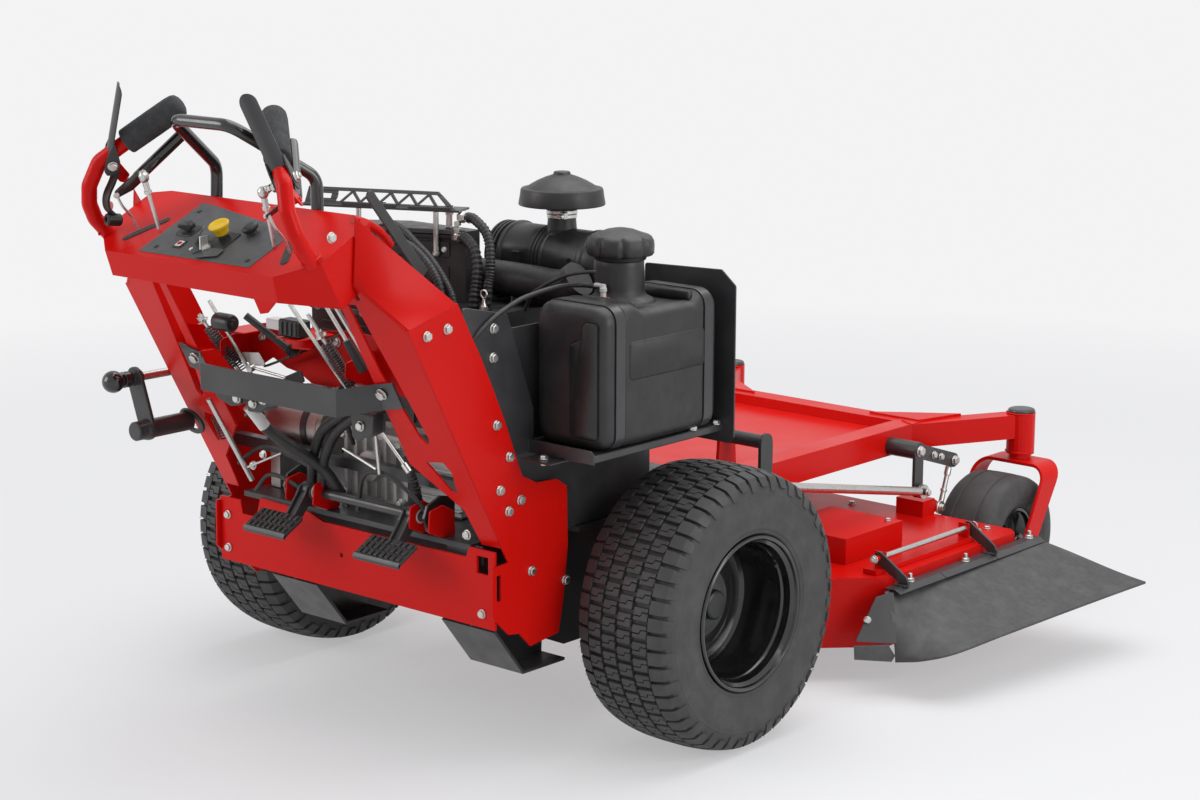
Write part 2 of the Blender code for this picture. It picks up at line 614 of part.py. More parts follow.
def chute():
    low = DECK_TOP + GAP
    hinge = CHUTE_ROD_X
    rail = box((hinge - 0.024, hinge + 0.012), (0.570, 1.010), (low, DECK_TOP + 0.012))
    adds = []
    ends = (CHUTE_ARM_Y[0] + 0.012, CHUTE_ARM_Y[1] - 0.012)
    for y in ends:
        adds.append(box((hinge - 0.020, hinge + 0.010), (y - 0.002, y + 0.002), (DECK_TOP + 0.010, CHUTE_ROD_Z + 0.012)))
    adds.append(rod((hinge, CHUTE_ARM_Y[0] - 0.020, CHUTE_ROD_Z), (hinge, CHUTE_ARM_Y[1] + 0.020, CHUTE_ROD_Z),
                    CHUTE_ROD_R, 14))
    part("chute_bracket", combine(rail, adds), RED)
    top = CHUTE_TOP
    side = DECK_SIDE
    strip = box((side + 0.006, side + 0.034), (0.560, 1.180), (top - 0.006, top))
    rubber = slab([(side + 0.030, 0.545, top - 0.003), (side + 0.030, 1.185, top - 0.003),
                   (side + 0.310, 1.215, top - 0.067), (side + 0.220, 0.560, top - 0.102),
                   (side + 0.082, 0.500, top - 0.144), (side + 0.040, 0.505, top - 0.092)], (0, 0, -0.009))
    inner = slab([(side + 0.006, 0.560, top - 0.004), (side + 0.006, 1.180, top - 0.004),
                  (side + 0.040, 1.182, top - 0.006), (side + 0.040, 0.560, top - 0.006)], (0, 0, -0.009))
    flap = slab([(side + 0.032, 0.552, top - 0.005), (side + 0.088, 0.505, top - 0.146),
                 (side + 0.010, 0.428, top - 0.132), (side + 0.010, 0.520, top - 0.017)], (-0.004, 0.007, 0))
    adds = [rubber, inner, flap]
    for y in CHUTE_ARM_Y:
        arm = [(hinge - 0.014, CHUTE_ROD_Z - 0.013), (hinge + 0.014, CHUTE_ROD_Z - 0.013),
               (side + 0.008, CHUTE_ROD_Z - 0.012), (side + 0.012, top - 0.003), (side + 0.030, top - 0.003),
               (side + 0.024, CHUTE_ROD_Z + 0.006), (hinge, CHUTE_ROD_Z + 0.014), (hinge - 0.014, CHUTE_ROD_Z + 0.010)]
        adds.append(prism(arm, "y", y - 0.009, y + 0.009))
    bore = hole((hinge, 0.4, CHUTE_ROD_Z), (hinge, 1.2, CHUTE_ROD_Z), CHUTE_ROD_R + RUNNING, 14)
    part("chute_deflector", combine(strip, adds, [bore]), RUBBER, (hinge, CHUTE_ARM_Y[0], CHUTE_ROD_Z))


def arm_between(ends, radius, lows, side):
    """Flat arm with rounded ends in a plane across X, round the given (y, z) points."""
    x0 = side * (lows[0])
    x1 = side * (lows[1])
    (ya, za), (yb, zb) = ends
    along = Vector((0, yb - ya, zb - za)).normalized()
    across = Vector((0, -along.z, along.y))
    outline = []
    for end, way in ((Vector((0, ya, za)), -1), (Vector((0, yb, zb)), 1)):
        for k in range(7):
            turn = math.radians(-90 + 30 * k)
            point = end + (along * math.cos(turn) + across * math.sin(turn)) * radius * way
            outline.append((point.y, point.z))
    return prism(outline, "x", x0, x1)


def deck_lift():
    near = ARM_X - ARM_T / 2
    far = ARM_X + ARM_T / 2
    shaft = rod((-far, LIFT_Y, LIFT_Z), (far, LIFT_Y, LIFT_Z), LIFT_SHAFT_R, 20)
    low = LIFT_Z - LIFT_ARM
    adds = []
    for side in (-1, 1):
        adds.append(arm_between(((LIFT_Y, LIFT_Z), (LIFT_Y, low)), 0.022, (near, far), side))
        adds.append(rod((side * (far - 0.002), LIFT_Y, low), (side * (ROD_X + 0.014), LIFT_Y, low), ROD_PIN_R, 14))
    part("lift_shaft", combine(shaft, adds), BLACK, (0, LIFT_Y, LIFT_Z))
    for name, side in (("left", -1), ("right", 1)):
        pin_z = CRANK_Z - LIFT_ARM
        crank = arm_between(((CRANK_Y, CRANK_Z), (CRANK_Y, pin_z)), 0.018, (near, far), side)
        adds = [arm_between(((CRANK_Y, CRANK_Z), (LINK_Y, LINK_Z)), 0.018, (near, far), side),
                rod((side * (RAIL_OUT + GAP), CRANK_Y, CRANK_Z), (side * far, CRANK_Y, CRANK_Z), 0.022, 20),
                rod((side * (far - 0.002), CRANK_Y, pin_z), (side * (ROD_X + 0.014), CRANK_Y, pin_z), ROD_PIN_R, 14),
                rod((side * (LINK_IN - 0.004), LINK_Y, LINK_Z), (side * (near + 0.002), LINK_Y, LINK_Z), ROD_PIN_R, 14)]
        bore = hole((side * 0.3, CRANK_Y, CRANK_Z), (side * 0.5, CRANK_Y, CRANK_Z), CRANK_PIN_R + RUNNING)
        part("front_crank_" + name, combine(crank, adds, [bore]), BLACK, (side * ARM_X, CRANK_Y, CRANK_Z))
        rear = Vector((side * ROD_X, LIFT_Y, low))
        front = Vector((side * ROD_X, CRANK_Y, pin_z))
        eyes = []
        holes = []
        for end in (rear, front):
            wide = Vector((ROD_EYE_T / 2, 0, 0))
            eyes.append(rod(end - wide, end + wide, 0.018, 18))
            holes.append(hole(end - wide * 3, end + wide * 3, ROD_PIN_R + RUNNING, 14))
        way = (front - rear).normalized() * 0.015
        bar = rod(rear + way, front - way, ROD_R, 14)
        part("push_rod_" + name, combine(bar, eyes, holes), STEEL, rear)
        link = arm_between(((LINK_Y, LINK_Z), LINK_LOW), LINK_R, (LINK_IN, LINK_OUT), side)
        eye = hole((side * 0.3, LINK_Y, LINK_Z), (side * 0.5, LINK_Y, LINK_Z), ROD_PIN_R + RUNNING, 14)
        part("drop_link_" + name, combine(link, [], [eye]), STEEL, (side * LINK_OUT, LINK_Y, LINK_Z))


# Uprights carry the console and the handles

def console():
    rim = [(0.251, CONSOLE_REAR[0]), (CONSOLE_HALF, -0.845), (CONSOLE_HALF, -0.715), (0.276, -0.702)]
    foot = [(0.248, APRON_Y, 1.025), (CONSOLE_HALF, -0.792, 1.010), (CONSOLE_HALF, -0.712, 1.055),
            (0.274, -0.702, 1.120)]
    top = [(x, y, console_z(y)) for x, y in rim]
    top = top + [(-x, y, z) for x, y, z in reversed(top)]
    low = foot + [(-x, y, z) for x, y, z in reversed(foot)]

    def loft(upper, lower):
        bm = bmesh.new()
        a = [bm.verts.new(p) for p in upper]
        b = [bm.verts.new(p) for p in lower]
        count = len(a)
        for i in range(count):
            j = (i + 1) % count
            bm.faces.new((a[i], a[j], b[j]))
            bm.faces.new((a[i], b[j], b[i]))
        bm.faces.new(a)
        bm.faces.new(b)
        bmesh.ops.triangulate(bm, faces=[f for f in bm.faces if len(f.verts) > 4])
        return body(bm)

    def inside(x, y, z):
        return Vector((x - math.copysign(CONSOLE_T, x), y + (CONSOLE_T if y < -0.78 else -CONSOLE_T), z))

    shell = loft(top, low)
    ceiling = [inside(x, y, z - CONSOLE_T) for x, y, z in top]
    opening = []
    for high, (x, y, z) in zip(ceiling, low):
        edge = inside(x, y, z)
        opening.append(edge + (edge - high) * 0.4)
    hollow = loft(ceiling, opening)
    tab = prism([(0.175, 1.032), (0.197, 0.998), (0.216, 1.002), (0.247, 1.032)], "y", APRON_Y, APRON_Y + CONSOLE_T)
    cuts = [hollow]
    for x, y, radius in ((0.022, -0.818, 0.0065), (0.077, -0.793, 0.0055)):
        spot = Vector((x, y, console_z(y)))
        cuts.append(hole(spot - CONSOLE_NORMAL * 0.03, spot + CONSOLE_NORMAL * 0.03, radius, 14))
    cuts.append(box((-0.0978, -0.0922), (-0.840, -0.782), (1.08, 1.17)))
    part("control_console", combine(combine(shell, [], cuts), [tab]), RED)


def console_controls():
    def on_top(x, y):
        return Vector((x, y, console_z(y) + GAP))

    spot = on_top(0.022, -0.818)
    knob = turned(((-0.020, 0), (-0.020, 0.006), (0.010, 0.006), (0.012, 0.014), (0.020, 0.022), (0.032, 0.022),
                   (0.036, 0.016), (0.036, 0)), spot, CONSOLE_NORMAL, 20)
    part("blade_switch_knob", knob, YELLOW, spot)
    spot = on_top(0.077, -0.793)
    knob = turned(((-0.020, 0), (-0.020, 0.005), (0.010, 0.005), (0.012, 0.012), (0.024, 0.012), (0.027, 0.008),
                   (0.027, 0)), spot, CONSOLE_NORMAL, 16)
    part("choke_knob", knob, PLASTIC, spot)
    spot = on_top(-0.095, -0.811) - CONSOLE_NORMAL * 0.020
    stem = rod(spot, spot + CONSOLE_NORMAL * 0.050, 0.0025, 10)
    ball = turned(((0.042, 0), (0.042, 0.008), (0.050, 0.011), (0.062, 0.010), (0.068, 0)), spot, CONSOLE_NORMAL, 14)
    part("throttle_lever", combine(stem, [ball]), PLASTIC, spot)
    spot = on_top(0.011, -0.855)
    barrel = rod(spot, spot + CONSOLE_NORMAL * 0.008, 0.011, 18)
    bow = spot + CONSOLE_NORMAL * 0.018
    blade = box((bow.x - 0.0015, bow.x + 0.0015), (bow.y - 0.010, bow.y + 0.010), (bow.z - 0.014, bow.z + 0.012))
    part("ignition_key", combine(barrel, [blade]), STEEL, spot)


def handle(name, side):
    x, y = HANDLE_FOOT
    lift = HANDLE_R * CONSOLE_SLOPE + 6 * GAP
    start = sided((x, y, console_z(y) + lift), side)
    low = sided(GRIP_LOW, side)
    top = sided(GRIP_TOP, side)
    along = (top - low).normalized()
    bends = [sided(bend, side) for bend in HANDLE_BENDS]
    elbow = bends[-1]
    path = rounded([start, *bends, low, top - along * 0.012], 0.030)
    axis = sided(BLADE_AXIS, side)
    pivot = sided(LEVER_PIVOT, side)
    bolt = sided(BLADE_PIVOT, side)
    run = (low - elbow).normalized()
    foot = elbow + run * (pivot - elbow).dot(run)
    out = (foot - pivot).dot(axis)
    knuckle = pivot + axis * out
    wide = run * 0.010
    lug = slab([foot - run * 0.016, foot + run * 0.016, knuckle + wide, knuckle - wide - (foot - knuckle) * 0.15,
                knuckle - wide * 1.6], axis * 0.004)
    pin = rod(pivot - axis * 0.004 * math.copysign(1, out), knuckle + axis * 0.002, LEVER_PIN_R, 12)
    hinge = rod(bolt - axis * 0.0250, bolt + axis * 0.0250, LEVER_PIN_R, 12)
    part("grip_tube_" + name, combine(tube(path, HANDLE_R, 14), [lug, pin, hinge]), RED)
    length = (GRIP_TOP - GRIP_LOW).length
    bore = HANDLE_R + GAP
    begin = 0.010
    sleeve = turned(((begin, 0), (begin, GRIP_R - 0.002), (begin + 0.004, GRIP_R), (length - 0.012, GRIP_R),
                     (length - 0.003, GRIP_R - 0.007), (length, GRIP_R - 0.017), (length, 0)), low, along, 20)
    hollow = hole(low - along * 0.02, top - along * (0.012 - GAP), bore, 14)
    part("foam_grip_" + name, combine(sleeve, [], [hollow]), FOAM)


def frame_of(side):
    """Pivot, direction along the blade, hinge axis and the direction towards the grip."""
    pivot = sided(BLADE_PIVOT, side)
    along = sided(BLADE_DIR, side)
    axis = sided(BLADE_AXIS, side)
    grip = sided(GRIP_DIR, side)
    toward = (grip - along * grip.dot(along)).normalized()
    return pivot, along, axis, toward


def presence_blade(name, side):
    pivot, along, axis, toward = frame_of(side)
    length = (BLADE_TIP - BLADE_PIVOT).length

    def at(u, w, n):
        return pivot + along * u + axis * w + toward * n

    web = slab([at(0.054, -0.0210, -0.010), at(length - 0.008, -0.0215, -0.006), at(length, -0.012, -0.006),
                at(length, 0.012, -0.006), at(length - 0.008, 0.0215, -0.006), at(0.054, 0.0210, -0.010)],
               toward * 0.003)
    adds = []
    for face in (-1, 1):
        flange = [(-0.018, -0.008), (-0.014, 0.010), (0.010, 0.012), (0.030, 0.004), (0.046, -0.004),
                  (length - 0.012, -0.003), (length - 0.006, -0.006), (0.026, -0.012), (0.004, -0.014),
                  (-0.013, -0.014)]
        points = [at(u, face * 0.0188, n) for u, n in flange]
        adds.append(slab(points, axis * face * 0.003))
    bore = hole(pivot - axis * 0.04, pivot + axis * 0.04, LEVER_PIN_R + RUNNING, 12)
    part("presence_blade_" + name, combine(web, adds, [bore]), BLACK, pivot)


def drive_lever(name, side):
    axis = frame_of(side)[2]
    low = sided(LEVER_LOW, side)
    top = sided(LEVER_TOP, side)
    tail = sided(LEVER_TAIL, side)
    pivot = sided(LEVER_PIVOT, side)
    bar = tube([low, low + (top - low) * 0.5, top], LEVER_R, 14)
    way = (top - low).normalized()
    wide = way.cross(axis).normalized() * 0.012
    plate = slab([low + way * 0.02 + wide, low + way * 0.02 - wide, tail - wide * 0.6, tail + wide * 0.6 - way * 0.004,
                  pivot + wide * 1.2], axis * 0.005)
    bore = hole(pivot - axis * 0.04, pivot + axis * 0.04, LEVER_PIN_R + RUNNING, 12)
    part("drive_lever_" + name, combine(bar, [plate], [bore]), BLACK, pivot)


def reference_bar():
    foot = -0.702 + GAP + 0.012
    half = [(0.152, foot, 1.110), (0.149, foot + 0.002, 1.239), (0.085, -0.852, 1.349)]
    path = rounded(half + [(-x, y, z) for x, y, z in reversed(half)], 0.030, 4)
    part("reference_bar", tube(path, 0.012, 12), BLACK)


def pedal(name, xs, arm_x, rise):
    hub = rod((arm_x - 0.016, PEDAL_Y, PEDAL_Z), (arm_x + 0.016, PEDAL_Y, PEDAL_Z), 0.019, 18)
    arm = [(PEDAL_Y - 0.004, PEDAL_Z + 0.018), (PEDAL_Y - 0.030, PEDAL_Z - 0.006), (-0.531, 0.474 + rise),
           (-0.578, 0.444 + rise), (-0.574, 0.436 + rise), (-0.520, 0.456 + rise), (-0.490, PEDAL_Z - 0.030),
           (PEDAL_Y + 0.004, PEDAL_Z - 0.018)]
    tread = [(-0.528, 0.478 + rise), (-0.580, 0.448 + rise), (-0.583, 0.443 + rise), (-0.579, 0.439 + rise),
             (-0.527, 0.470 + rise)]
    adds = [prism(arm, "x", arm_x - 0.010, arm_x + 0.010), prism(tread, "x", xs[0], xs[1])]
    bore = hole((arm_x - 0.1, PEDAL_Y, PEDAL_Z), (arm_x + 0.1, PEDAL_Y, PEDAL_Z), PEDAL_SHAFT_R + RUNNING)
    part(name, combine(hub, adds, [bore]), BLACK, (arm_x, PEDAL_Y, PEDAL_Z))


def lock_lever():
    y0, y1 = LOCK_ARM_Y
    arm = []
    low = Vector((LOCK_X, 0, LOCK_Z))
    high = Vector((LOCK_PIN_X, 0, LOCK_PIN_Z))
    along = (high - low).normalized()
    across = Vector((along.z, 0, -along.x))
    for end, way in ((low, -1), (high, 1)):
        for k in range(7):
            turn = math.radians(-90 + 30 * k)
            point = end + (along * math.cos(turn) + across * math.sin(turn)) * 0.024 * way
            arm.append((point.x, point.z))
    plate = prism(arm, "y", y0, y1)
    seat = lean_y(-LOCK_X, LOCK_Z) - LOCK_SHAFT_R * math.hypot(LEAN, SPLAY) - GAP
    shaft = rod((LOCK_X, y0 - 0.033, LOCK_Z), (LOCK_X, seat, LOCK_Z), LOCK_SHAFT_R, 20)
    bore = hole((LOCK_PIN_X, -0.9, LOCK_PIN_Z), (LOCK_PIN_X, -0.4, LOCK_PIN_Z), LOCK_PIN_R + RUNNING)
    part("lock_lever", combine(plate, [shaft], [bore]), BLACK, (LOCK_X, y0, LOCK_Z))
    pin = turned(((-0.0787, 0), (-0.0767, 0.012), (-0.068, 0.021), (-0.055, 0.0245), (-0.042, 0.021), (-0.034, 0.015),
                  (-0.030, 0.0175), (-GAP, 0.0175), (-GAP, LOCK_PIN_R), (0.235, LOCK_PIN_R), (0.235, 0)),
                 (LOCK_PIN_X, y0, LOCK_PIN_Z), (0, 1, 0), 20)
    part("lock_pin", pin, STEEL, (LOCK_PIN_X, y0, LOCK_PIN_Z))


# Engine and tank

def guard_at(along, forward):
    """A point of the guard in plan: so far along it, so far in front of its rear edge."""
    return (GUARD_START[0] + along * math.cos(GUARD_TURN) - forward * math.sin(GUARD_TURN),
            GUARD_START[1] + along * math.sin(GUARD_TURN) + forward * math.cos(GUARD_TURN))


def engine():
    floor = RAIL_TOP + GAP + DECK_PLATE + GAP
    case = rod((-0.02, -0.130, floor), (-0.02, -0.130, 0.700), 0.150, 32)
    adds = [box((-0.165, 0.165), (-0.300, 0.080), (0.640, SHROUD_LOW - GAP))]
    for side in (-1, 1):
        adds.append(box((side * 0.100, side * 0.215), (-0.060, 0.110), (0.570, 0.720)))
    part("engine_block", combine(case, adds), CASTING)
    side_view = [(-0.355, SHROUD_LOW), (0.125, SHROUD_LOW), (0.125, 0.870), (0.060, 0.905), (-0.165, 0.920),
                 (-0.355, 0.920)]
    plan = [(-0.235, -0.355), (0.096, -0.2145), (0.096, -0.170), (-0.110, -0.170), (-0.235, -0.250)]
    tower = prism(plan, "z", 0.910, SHROUD_TOP)
    saddle = box((0.040, 0.110), (DUCT_Y - 0.030, DUCT_Y + 0.030), (0.900, DUCT_Z - 0.020))
    seat = hole((-0.1, DUCT_Y, DUCT_Z), (0.3, DUCT_Y, DUCT_Z), DUCT_R + GAP, 18)
    part("engine_shroud", combine(prism(side_view, "x", -0.235, 0.235), [tower, saddle], [seat]), PLASTIC)
    ledge = prism([guard_at(0, 0), guard_at(GUARD_LEN, 0), guard_at(GUARD_LEN, 0.062), guard_at(0, 0.062)], "z",
                  *GUARD_Z)
    low = GUARD_Z[0] + 0.002
    fence = slab([(*guard_at(0.010, 0.004), low), (*guard_at(GUARD_LEN - 0.010, 0.004), low),
                  (*guard_at(0.310, 0.030), GUARD_TOP), (*guard_at(0.010, 0.030), GUARD_TOP)], (0, 0, 0.005))
    adds = [fence]
    for along in (0.032, 0.180, 0.335):
        spot = guard_at(along, 0.032)
        adds.append(rod((*spot, SHROUD_TOP + GAP), (*spot, low), 0.007, 12))
    part("engine_guard", combine(ledge, adds), BLACK)
    can = turned(((0.000, 0), (0.000, 0.060), (0.008, 0.068), (0.030, CLEANER_R), (0.268, CLEANER_R), (0.273, 0.071),
                  (0.288, 0.071), (0.293, CLEANER_R), (0.326, CLEANER_R), (0.336, 0.066), (0.336, 0)),
                 (0, 0, CLEANER_Z), (1, 0, 0), 24)
    neck = rod((CAP_X, 0, CLEANER_Z + 0.05), (CAP_X, 0, 1.115), 0.031, 20)
    stand = box((0.060, 0.200), (-0.030, 0.030), (0.890, CLEANER_Z - 0.05))
    cleaner = combine(can, [neck, stand])
    cut = [(-0.5, 0.5), (-0.5, 0.905 + GAP), (-0.165, 0.920 + GAP), (0.060, 0.905 + GAP), (0.125 + GAP, 0.870 + GAP),
           (0.125 + GAP, 0.5)]
    cleaner = combine(cleaner, [], [prism(cut, "x", -0.1, 0.4)])
    part("air_cleaner", cleaner, PLASTIC)
    cap = turned(((1.115 + GAP, 0), (1.115 + GAP, 0.036), (1.128, 0.040), (1.133, 0.084), (1.126, 0.092), (1.130, 0.095),
                  (1.150, 0.088), (1.168, 0.060), (1.176, 0.045), (1.190, 0.040), (1.192, 0)),
                 (CAP_X, 0, 0), (0, 0, 1), 24)
    part("rain_cap", cap, PLASTIC)
    duct = rounded([(-0.110, DUCT_Y, DUCT_Z), (0.290, DUCT_Y, DUCT_Z), (0.322, DUCT_Y, DUCT_Z + 0.021)], 0.03, 3)
    part("intake_duct", tube(duct, DUCT_R, 18), RUBBER)
    can = turned(((0, 0), (0, 0.050), (0.008, 0.058), (0.172, 0.058), (0.180, 0.050), (0.180, 0)),
                 (-0.345, -0.350, 0.630), (1, 0, 0), 24)
    foot = box((-0.330, -0.300), (-0.400, -0.300), (floor, 0.600))
    part("muffler", combine(can, [foot]), STEEL)


def tank_section(grow):
    """The tank seen from behind, grown by so much on every side."""
    x0, x1 = TANK_X[0] - grow, TANK_X[1] + grow
    z0, z1 = TANK_Z[0] - grow, TANK_Z[1] + grow
    cut = TANK_CUT + 0.586 * grow
    return [(x0 + cut, z0), (x1 - cut, z0), (x1, z0 + cut), (x1, z1 - cut), (x1 - cut, z1), (x0 + cut, z1),
            (x0, z1 - cut), (x0, z0 + cut)]


def fuel_tank():
    x0, x1 = TANK_X
    y0, y1 = TANK_Y
    z0, z1 = TANK_Z
    neck = rod((*NECK, z1 - 0.02), (*NECK, NECK_TOP - 0.012), NECK_R, 24)
    part("fuel_tank", combine(prism(tank_section(0), "y", y0, y1), [neck]), PLASTIC)
    cap = turned(((NECK_TOP - 0.012 + GAP, 0), (NECK_TOP - 0.012 + GAP, 0.046), (NECK_TOP, 0.056), (NECK_TOP + 0.008, 0.069),
                  (NECK_TOP + 0.035, 0.071), (NECK_TOP + 0.044, 0.063), (NECK_TOP + 0.044, 0.050),
                  (NECK_TOP + 0.053, 0.046), (NECK_TOP + 0.053, 0)),
                 (*NECK, 0), (0, 0, 1), 24)
    part("fuel_cap", cap, PLASTIC, (*NECK, NECK_TOP))
    floor = RAIL_TOP + GAP + DECK_PLATE + GAP
    leg_x = 0.401
    tray = box((leg_x - 0.003, x1 - 0.010), (y0 - 0.020, y1 + 0.022), (z0 - 0.018, z0 - GAP))
    leg = (y0 + 0.145, y1 + 0.010)
    adds = [box((leg_x, leg_x + 0.006), leg, (floor, z0 - 0.015)),
            box((leg_x - 0.026, leg_x + 0.004), leg, (floor, floor + 0.006))]
    side_out = UPRIGHT_X - SHEET - GAP
    bracket = [(y0 - 0.216, z0 + 0.306), (y0 - 0.080, z0 + 0.275), (y0 - 0.003, z0 + 0.070), (y0 - 0.003, z0 - 0.015),
               (y0 - 0.050, z0 - 0.023), (y0 - 0.115, z0 + 0.052)]
    adds.append(prism(bracket, "x", side_out - SHEET, side_out))
    for y in (y0 + 0.050, y1 - 0.040):
        loop = prism(tank_section(STRAP_T), "y", y - 0.014, y + 0.014)
        adds.append(combine(loop, [], [prism(tank_section(GAP), "y", y - 0.020, y + 0.020)]))
    shield = [(x0 - 0.034, z0 - 0.040), (x1 + 0.010, z0 - 0.040), (x1 + 0.023, z0 - 0.027), (x1 + 0.023, z1 + 0.003),
              (x1 - 0.015, z1 + 0.034), (x0 - 0.034, z1 + 0.027)]
    adds.append(prism(shield, "y", y1 + 0.020, y1 + 0.024))
    part("tank_cradle", combine(tray, adds), BLACK)


for NAME, SIDE in (("left", -1), ("right", 1)):
    drive_wheel(NAME, SIDE)
    caster(NAME, SIDE)
    upright(NAME, SIDE)
    handle(NAME, SIDE)
    presence_blade(NAME, SIDE)
    drive_lever(NAME, SIDE)

front_frame()
engine_frame()
rear_bumper()
cross_pieces()
mower_deck()
chute()
deck_lift()
console()
console_controls()
reference_bar()
pedal("lift_pedal", (-0.220, -0.090), -0.125, 0)
pedal("brake_pedal", (0.120, 0.255), 0.190, 0)
lock_lever()
engine()
fuel_tank()

# Move the whole machine so that the origin is at its bottom centre
LOW = Vector((math.inf,) * 3)
HIGH = Vector((-math.inf,) * 3)
for made in PARTS:
    for vertex in made.data.vertices:
        point = made.location + vertex.co
        LOW = Vector(map(min, LOW, point))
        HIGH = Vector(map(max, HIGH, point))
MIDDLE = Vector(((LOW.x + HIGH.x) / 2, (LOW.y + HIGH.y) / 2, LOW.z))
for made in PARTS:
    made.location -= MIDDLE
print("origin moved by", tuple(round(v, 5) for v in MIDDLE), "size", tuple(round(v, 4) for v in HIGH - LOW))
print("parts", len(PARTS))
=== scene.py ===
# %% [markdown]
# # A walk-behind mower, dressed over its CAD frame
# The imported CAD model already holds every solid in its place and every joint. This lesson keeps the
# folded sheets that are right as they are and gives them real finishes, and it rebuilds the tyres,
# tank, engine, hoses, springs and bolts in finer form. Lengths are metres, X is the operator's right,
# Y is forward and Z is up.

# %% Load the frame
import math
import random

import bmesh
import bpy
from mathutils import Matrix, Vector


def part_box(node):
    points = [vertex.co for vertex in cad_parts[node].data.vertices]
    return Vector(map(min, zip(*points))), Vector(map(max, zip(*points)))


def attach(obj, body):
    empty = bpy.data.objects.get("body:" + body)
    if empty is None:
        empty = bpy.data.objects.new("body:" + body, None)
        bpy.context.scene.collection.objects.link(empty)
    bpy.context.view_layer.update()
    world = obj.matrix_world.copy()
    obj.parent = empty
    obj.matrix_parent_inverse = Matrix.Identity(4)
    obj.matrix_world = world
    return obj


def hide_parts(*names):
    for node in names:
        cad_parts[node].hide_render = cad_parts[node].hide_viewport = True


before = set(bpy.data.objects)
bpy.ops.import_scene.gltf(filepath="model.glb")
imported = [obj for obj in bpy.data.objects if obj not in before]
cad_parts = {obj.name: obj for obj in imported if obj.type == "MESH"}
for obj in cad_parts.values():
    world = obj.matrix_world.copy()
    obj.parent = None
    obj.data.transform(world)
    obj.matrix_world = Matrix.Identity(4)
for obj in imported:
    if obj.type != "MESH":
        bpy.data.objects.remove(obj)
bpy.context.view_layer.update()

# %% [markdown]
# The machine was drawn with its origin on the ground under the rear axle, because wheels and axle are
# what a mower is set out from. The frame has its origin at the bottom centre of the whole machine. One
# vector, read from the two drive tyres, carries every drawn point into the frame.

# %% Where the drawing's origin lies in the frame
TYRE_R = 0.305
left_low, left_high = [Vector(corner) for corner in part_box("drive_tyre_left")]
right_low, right_high = [Vector(corner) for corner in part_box("drive_tyre_right")]
axle = (left_low + left_high + right_low + right_high) / 4
ORIGIN = axle - Vector((0, 0, TYRE_R))
print("drawing origin at", tuple(round(v, 4) for v in ORIGIN))

# %% [markdown]
# The camera comes first, so that every later render can be held against the photograph. The angle was
# solved from the wheels: their known size and track give the distance, and the ellipses of the rims
# give the direction. A lens of about 77 mm keeps the machine's lines nearly parallel.

# %% Camera
AZIMUTH = math.radians(40.99)
ELEVATION = math.radians(11.985)
ROLL = math.radians(0.19)
CAMERA_SPOT = Vector((3.8851, -4.1362, 1.8664))

camera_data = bpy.data.cameras.new("camera")
camera_data.lens = 77.47
camera_data.sensor_width = 36
camera_data.clip_end = 400
camera = bpy.data.objects.new("camera", camera_data)
bpy.context.scene.collection.objects.link(camera)
sight = Vector((-math.sin(AZIMUTH) * math.cos(ELEVATION), math.cos(AZIMUTH) * math.cos(ELEVATION),
                -math.sin(ELEVATION)))
turn = sight.to_track_quat("-Z", "Y").to_matrix().to_4x4()
camera.matrix_world = Matrix.Translation(CAMERA_SPOT + ORIGIN) @ turn @ Matrix.Rotation(ROLL, 4, "Z")
bpy.context.scene.camera = camera
print("camera", tuple(round(v, 3) for v in camera.location))

# %% [markdown]
# A studio: one wide floor and three large soft lamps. A wide lamp above gives the long pale glints on
# tube and tank, one behind the camera's left opens up the rear, and one at the right lights the side.
# The pale background is only what the camera and the reflections see of floor and world, so it adds no
# light to the paint.

# %% Floor, world and lamps
PALE = (0.83, 0.83, 0.84, 1)


def seen_by_camera(nodes, links):
    """1 for rays that the eye or a mirror sends out, 0 for rays that carry light."""
    path = nodes.new("ShaderNodeLightPath")
    glossy = nodes.new("ShaderNodeMath")
    glossy.operation = "MAXIMUM"
    links.new(path.outputs["Is Camera Ray"], glossy.inputs[0])
    links.new(path.outputs["Is Glossy Ray"], glossy.inputs[1])
    clear = nodes.new("ShaderNodeMath")
    clear.operation = "MAXIMUM"
    links.new(glossy.outputs[0], clear.inputs[0])
    links.new(path.outputs["Is Transmission Ray"], clear.inputs[1])
    return clear.outputs[0]


world = bpy.data.worlds.new("studio")
bpy.context.scene.world = world
world.use_nodes = True
nodes = world.node_tree.nodes
links = world.node_tree.links
light = nodes["Background"]
light.inputs["Color"].default_value = (0.95, 0.97, 1, 1)
light.inputs["Strength"].default_value = 0.42
backdrop = nodes.new("ShaderNodeBackground")
backdrop.inputs["Color"].default_value = PALE
backdrop.inputs["Strength"].default_value = 0.9
pick = nodes.new("ShaderNodeMixShader")
links.new(seen_by_camera(nodes, links), pick.inputs["Fac"])
links.new(light.outputs[0], pick.inputs[1])
links.new(backdrop.outputs[0], pick.inputs[2])
links.new(pick.outputs[0], nodes["World Output"].inputs["Surface"])

